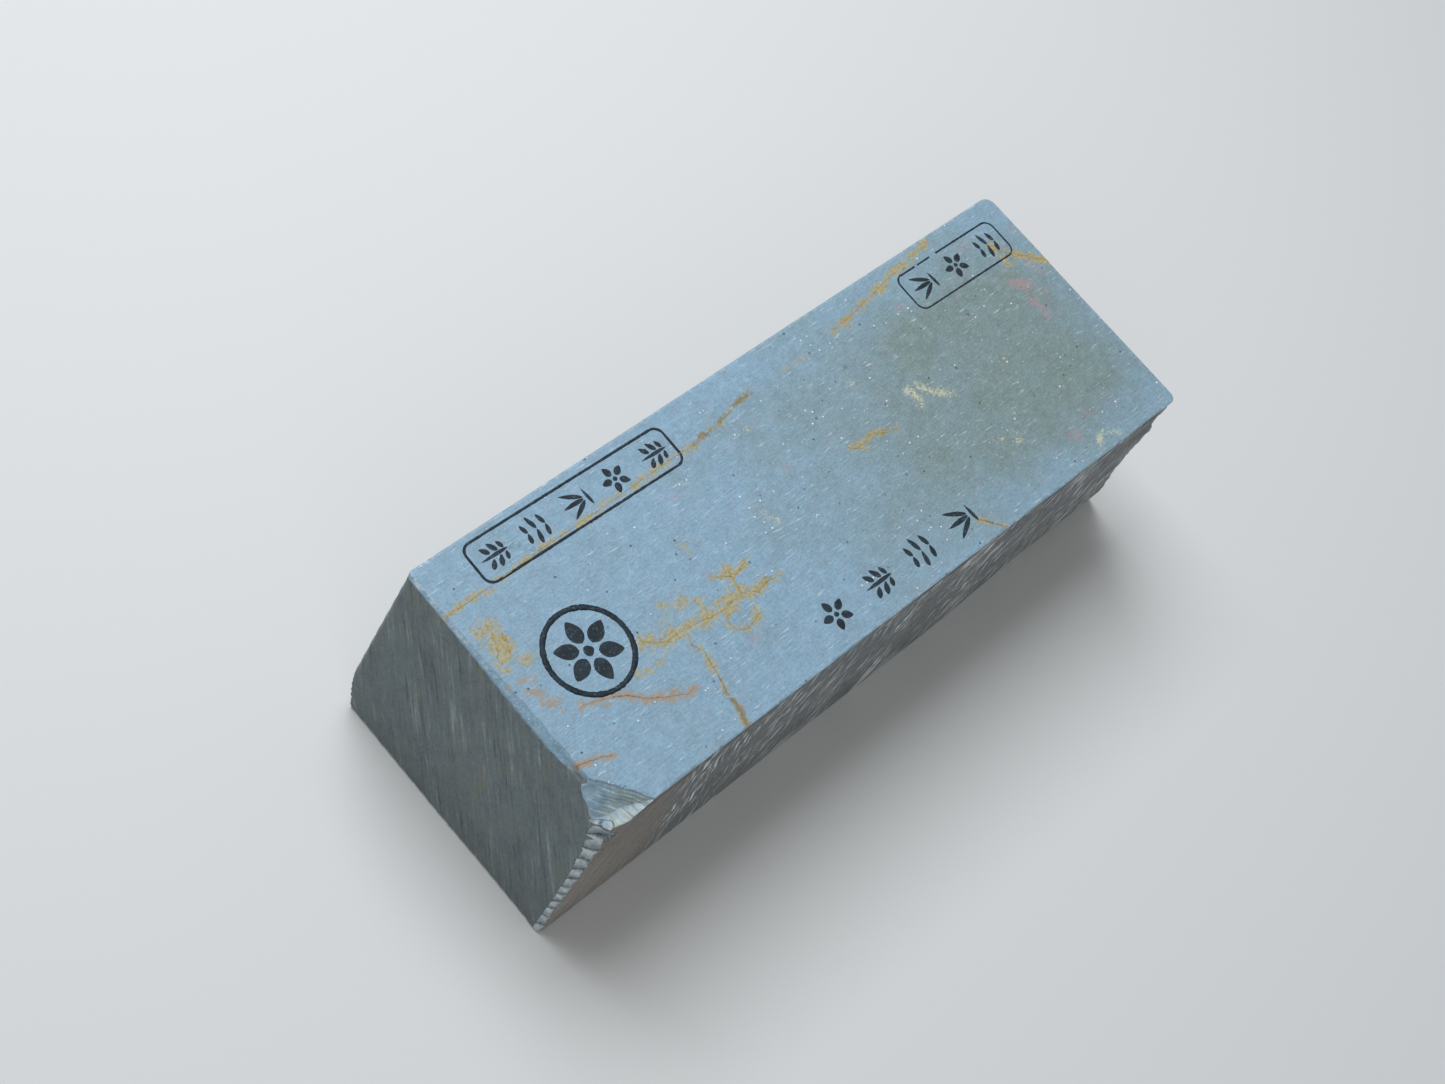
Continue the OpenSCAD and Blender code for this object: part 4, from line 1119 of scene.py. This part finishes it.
# %% Geometry Nodes: strokes on points
def stroke_tree():
    tree, given = new_geometry_tree("brush_strokes", [("Stroke", "NodeSocketObject"),
                                                      ("Ragged", "NodeSocketFloat"),
                                    ("Height", "NodeSocketFloat"), ("Finish", "NodeSocketMaterial")])
    shape = add(tree, "GeometryNodeObjectInfo", {"Object": given["Stroke"]}, out="Geometry")
    turn = add(tree, "GeometryNodeInputNamedAttribute", {"Name": "turn"}, data_type="FLOAT")
    rotation = add(tree, "ShaderNodeCombineXYZ", {"Z": turn})
    length = add(tree, "GeometryNodeInputNamedAttribute", {"Name": "long"}, data_type="FLOAT")
    width = add(tree, "GeometryNodeInputNamedAttribute", {"Name": "wide"}, data_type="FLOAT")
    size = add(tree, "ShaderNodeCombineXYZ", {"X": length, "Y": width, "Z": given["Height"]})
    points = add(tree, "GeometryNodeMeshToPoints", {"Mesh": given["Geometry"]})
    copies = add(tree, "GeometryNodeInstanceOnPoints", {"Points": points, "Instance": shape,
                                                        "Rotation": rotation,
                 "Scale": size})
    real = add(tree, "GeometryNodeRealizeInstances", {"Geometry": copies})
    position = add(tree, "GeometryNodeInputPosition")
    wobble = add(tree, "ShaderNodeTexNoise", {"Vector": position, "Scale": grains(1.1), "Detail": 3.0,
                                              "Roughness": 0.7},
                 out="Color")
    centred = add(tree, "ShaderNodeVectorMath", {0: wobble, 1: (0.5, 0.5, 0.5)}, operation="SUBTRACT")
    flat_wobble = add(tree, "ShaderNodeVectorMath", {0: centred, 1: (2, 2, 0)}, operation="MULTIPLY")
    offset = add(tree, "ShaderNodeVectorMath", {0: flat_wobble, 3: given["Ragged"]}, operation="SCALE")
    varied = add(tree, "GeometryNodeSetPosition", {"Geometry": real, "Offset": offset})
    finish_tree(tree, varied, given["Finish"])
    return tree


STROKE_TREE = stroke_tree()


def stroke_points(name, strokes):
    data = bpy.data.meshes.new(name)
    data.from_pydata([((px + FACE_CENTRE[0]) * MM, (py + FACE_CENTRE[1]) * MM, HEIGHT * MM)
                      for px, py, *_ in strokes], [], [])
    store(data, "turn", [math.radians(s[2]) for s in strokes])
    store(data, "long", [s[3] * MM for s in strokes])
    store(data, "wide", [s[4] * MM for s in strokes])
    source = bpy.data.objects.new(name, data)
    bpy.context.scene.collection.objects.link(source)
    return source


# %% [markdown]
# ## Lines of the frames and the ring
# A stamped line is a closed path with a square section. The same walk-and-sweep idea as for the
# veins works, but the line has to stay even, so the width hardly varies and there is no wandering.

# %% Geometry Nodes: stamped line
def line_tree():
    tree, given = new_geometry_tree("stamped_line", [("Half width", "NodeSocketFloat"),
                                                     ("Height", "NodeSocketFloat"),
                                    ("Finish", "NodeSocketMaterial")])
    walk = add(tree, "GeometryNodeResampleCurve", {"Curve": given["Geometry"], "Length": 0.35 * MM},
               mode="LENGTH")
    position = add(tree, "GeometryNodeInputPosition")
    varied = add(tree, "ShaderNodeTexNoise", {"Vector": position, "Scale": grains(1.6), "Detail": 4.0,
                                            "Roughness": 0.7})
    share = add(tree, "ShaderNodeMapRange", {0: varied, 1: 0.3, 2: 0.65, 3: 0.7, 4: 1.15})
    half = add(tree, "ShaderNodeMath", {0: share, 1: given["Half width"]}, operation="MULTIPLY")
    swept = flat_sweep(tree, walk, half, given["Height"])
    finish_tree(tree, swept, given["Finish"])
    return tree


LINE_TREE = line_tree()


def round_rect(centre, turn, length, width, r):
    """Points of a rounded rectangle's outline, in mm on the face, with six steps to each corner."""
    c, s = math.cos(math.radians(turn)), math.sin(math.radians(turn))
    outline = []
    for quarter, (sx, sy) in enumerate(((1, 1), (-1, 1), (-1, -1), (1, -1))):
        for i in range(7):
            a = math.radians(90 * quarter + 15 * i)
            px = sx * (length / 2 - r) + r * math.cos(a)
            py = sy * (width / 2 - r) + r * math.sin(a)
            outline.append((centre[0] + c * px - s * py, centre[1] + s * px + c * py))
    return outline


# %% Ink material
def brushed_ink():
    # carbon ink dried in the pores of the stone: matt, blue-black, thinner where the stone is rubbed
    material, tree = new_material("carbon_ink")
    place = add(tree, "ShaderNodeTexCoord", out="Object")
    wear = add(tree, "ShaderNodeTexNoise", {"Vector": place, "Scale": grains(0.7), "Detail": 5.0,
                                            "Roughness": 0.8})
    thin = add(tree, "ShaderNodeMapRange", {0: wear, 1: 0.56, 2: 0.7, 3: 0.0, 4: 0.75})
    cloud = add(tree, "ShaderNodeTexNoise", {"Vector": place, "Scale": grains(5), "Detail": 2.0})
    tone = add(tree, "ShaderNodeMapRange", {0: cloud, 1: 0.3, 2: 0.7, 3: 0.0, 4: 1.0})
    ink = add(tree, "ShaderNodeMix", {0: tone, 6: hex_colour("#141e24"), 7: hex_colour("#24323a")}, out=2,
              data_type="RGBA")
    colour = add(tree, "ShaderNodeMix", {0: thin, 6: ink, 7: hex_colour("#6d8797")}, out=2, data_type="RGBA")
    bump = add(tree, "ShaderNodeBump", {"Height": wear, "Strength": 0.3, "Distance": 0.1 * MM}, out="Normal")
    shader = add(tree, "ShaderNodeBsdfPrincipled", {"Base Color": colour, "Roughness": 0.7, "Normal": bump,
                 "Specular IOR Level": 0.3})
    add(tree, "ShaderNodeOutputMaterial", {"Surface": shader})
    return material


INK = brushed_ink()


def ink_line(node, routes, half_width, closed):
    source = route_curve(node, routes, HEIGHT)
    for spline in source.data.splines:
        spline.use_cyclic_u = closed
    piece = run_tree(node + "_finished", source, LINE_TREE,
                     {"Half width": half_width * MM, "Height": INK_HEIGHT * MM, "Finish": INK})
    keep(piece, node)


def ink_strokes(node, strokes):
    piece = run_tree(node + "_finished", stroke_points(node, strokes), STROKE_TREE,
                     {"Stroke": STROKE, "Ragged": 0.12 * MM, "Height": INK_HEIGHT * MM, "Finish": INK})
    keep(piece, node)


# %% Frames, ring and ornaments
def place_on_face(node):
    """Middle of a packed mark, in mm from the middle of the honing face."""
    low, high = (np.array(corner)[:2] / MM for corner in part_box(node))
    return (low + high) / 2 - FACE_CENTRE


LONG_FRAME_AT, LONG_FRAME_TURN, LONG_FRAME_LENGTH = place_on_face("long_frame_line"), -1.0, 63.0
SHORT_FRAME_AT, SHORT_FRAME_TURN, SHORT_FRAME_LENGTH = place_on_face("short_frame_line"), -0.6, 37.5
FRAME_WIDTH, FRAME_R, FRAME_LINE = 12.0, 2.5, 0.7
RING_AT, RING_LINE = place_on_face("ring_line"), 1.45
RING_R = (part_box("ring_line")[1][0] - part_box("ring_line")[0][0]) / 2 / MM
ROW_AT, ROW_LENGTH = (0.0, place_on_face("row_sprigs")[1]), 61.0
MOTIF_SIZE, ROW_MOTIF_SIZE = 8.0, 9.0

long_outline = round_rect(LONG_FRAME_AT, LONG_FRAME_TURN, LONG_FRAME_LENGTH - FRAME_LINE,
                          FRAME_WIDTH - FRAME_LINE,
                          FRAME_R)
ink_line("long_frame_line", [long_outline], FRAME_LINE / 2, True)
short_line = FRAME_LINE * 0.75
short_outline = round_rect(SHORT_FRAME_AT, SHORT_FRAME_TURN, SHORT_FRAME_LENGTH - short_line,
                           FRAME_WIDTH - short_line, FRAME_R)
top_y = SHORT_FRAME_AT[1] + FRAME_WIDTH / 2 - short_line / 2
# the thin frame's upper line is worn away in two places
first_gap, second_gap = (66.9, 67.9), (72.8, 75.2)
ink_line("short_frame_line", [
    short_outline[7:] + short_outline[:7] + [(second_gap[1], top_y)],
    [(second_gap[0], top_y), (first_gap[1], top_y)],
    [(first_gap[0], top_y), (SHORT_FRAME_AT[0] - SHORT_FRAME_LENGTH / 2 + FRAME_R, top_y)],
], short_line / 2, False)
RING_STEPS = 96
ring_middle_r = RING_R - RING_LINE / 2
ring_angles = [2 * math.pi * i / RING_STEPS for i in range(RING_STEPS)]
ring_points = [(RING_AT[0] + ring_middle_r * math.cos(a), RING_AT[1] + ring_middle_r * math.sin(a))
               for a in ring_angles]
ink_line("ring_line", [ring_points], RING_LINE / 2, True)
ink_strokes("long_frame_sprigs", motif_row([twig(), ripples(), reeds(), blossom(5), twig()], LONG_FRAME_AT,
            LONG_FRAME_TURN, LONG_FRAME_LENGTH, MOTIF_SIZE))
ink_strokes("short_frame_sprigs", motif_row([reeds(), blossom(5), ripples()], SHORT_FRAME_AT,
                                            SHORT_FRAME_TURN,
            SHORT_FRAME_LENGTH, MOTIF_SIZE))
ink_strokes("ring_blossom", placed(blossom(6), RING_AT, 0, 2 * (RING_R - RING_LINE) * 0.86))
ink_strokes("row_sprigs", motif_row([blossom(5), twig(), ripples(), reeds()], ROW_AT, 0, ROW_LENGTH,
                                    ROW_MOTIF_SIZE))
bpy.data.objects.remove(STROKE)

# %% [markdown]
# ## Floor and light
# A plain pale floor and big soft lamps show the stone without hard shadows. The main lamp hangs
# above the far side, so the honed top is bright and the near end and broken side fall into shade.

# %% Floor
floor_mesh = bpy.data.meshes.new("floor")
FLOOR_HALF = 3.0
corners = [(x * FLOOR_HALF, y * FLOOR_HALF, 0) for x, y in ((-1, -1), (1, -1), (1, 1), (-1, 1))]
floor_mesh.from_pydata(corners, [], [(0, 1, 2, 3)])
floor = bpy.data.objects.new("floor", floor_mesh)
bpy.context.scene.collection.objects.link(floor)
floor_material, floor_tree = new_material("pale_paper")
paper = {"Base Color": hex_colour("#dadad7"), "Roughness": 0.9, "Specular IOR Level": 0.1}
floor_shader = add(floor_tree, "ShaderNodeBsdfPrincipled", paper)
add(floor_tree, "ShaderNodeOutputMaterial", {"Surface": floor_shader})
floor.data.materials.append(floor_material)


# %% Lamps
def soft_lamp(name, place_mm, aim_mm, size, power, colour):
    lamp = bpy.data.objects.new(name, bpy.data.lights.new(name, "AREA"))
    lamp.data.shape = "SQUARE"
    lamp.data.size = size
    lamp.data.energy = power
    lamp.data.color = hex_colour(colour)[:3]
    lamp.location = Vector(place_mm) * MM
    lamp.rotation_euler = (Vector(aim_mm) * MM - lamp.location).to_track_quat("-Z", "Y").to_euler()
    bpy.context.scene.collection.objects.link(lamp)


# places and aims in mm, sizes in metres, powers in watts
LAMP_AIM = (0, 0, 30)
KEY_AT, KEY_SIZE, KEY_POWER = (60, 430, 860), 0.6, 8.6
FILL_AT, FILL_SIZE, FILL_POWER = (-700, -500, 500), 0.8, 1.2
soft_lamp("top_softbox", KEY_AT, LAMP_AIM, KEY_SIZE, KEY_POWER, "#f4f8ff")
soft_lamp("near_fill", FILL_AT, LAMP_AIM, FILL_SIZE, FILL_POWER, "#ffffff")
world = bpy.data.worlds.new("studio")
world.use_nodes = True
world.node_tree.nodes["Background"].inputs["Color"].default_value = hex_colour("#e8ecf0")
world.node_tree.nodes["Background"].inputs["Strength"].default_value = 0.3
bpy.context.scene.world = world
bpy.context.scene.view_settings.view_transform = "Standard"
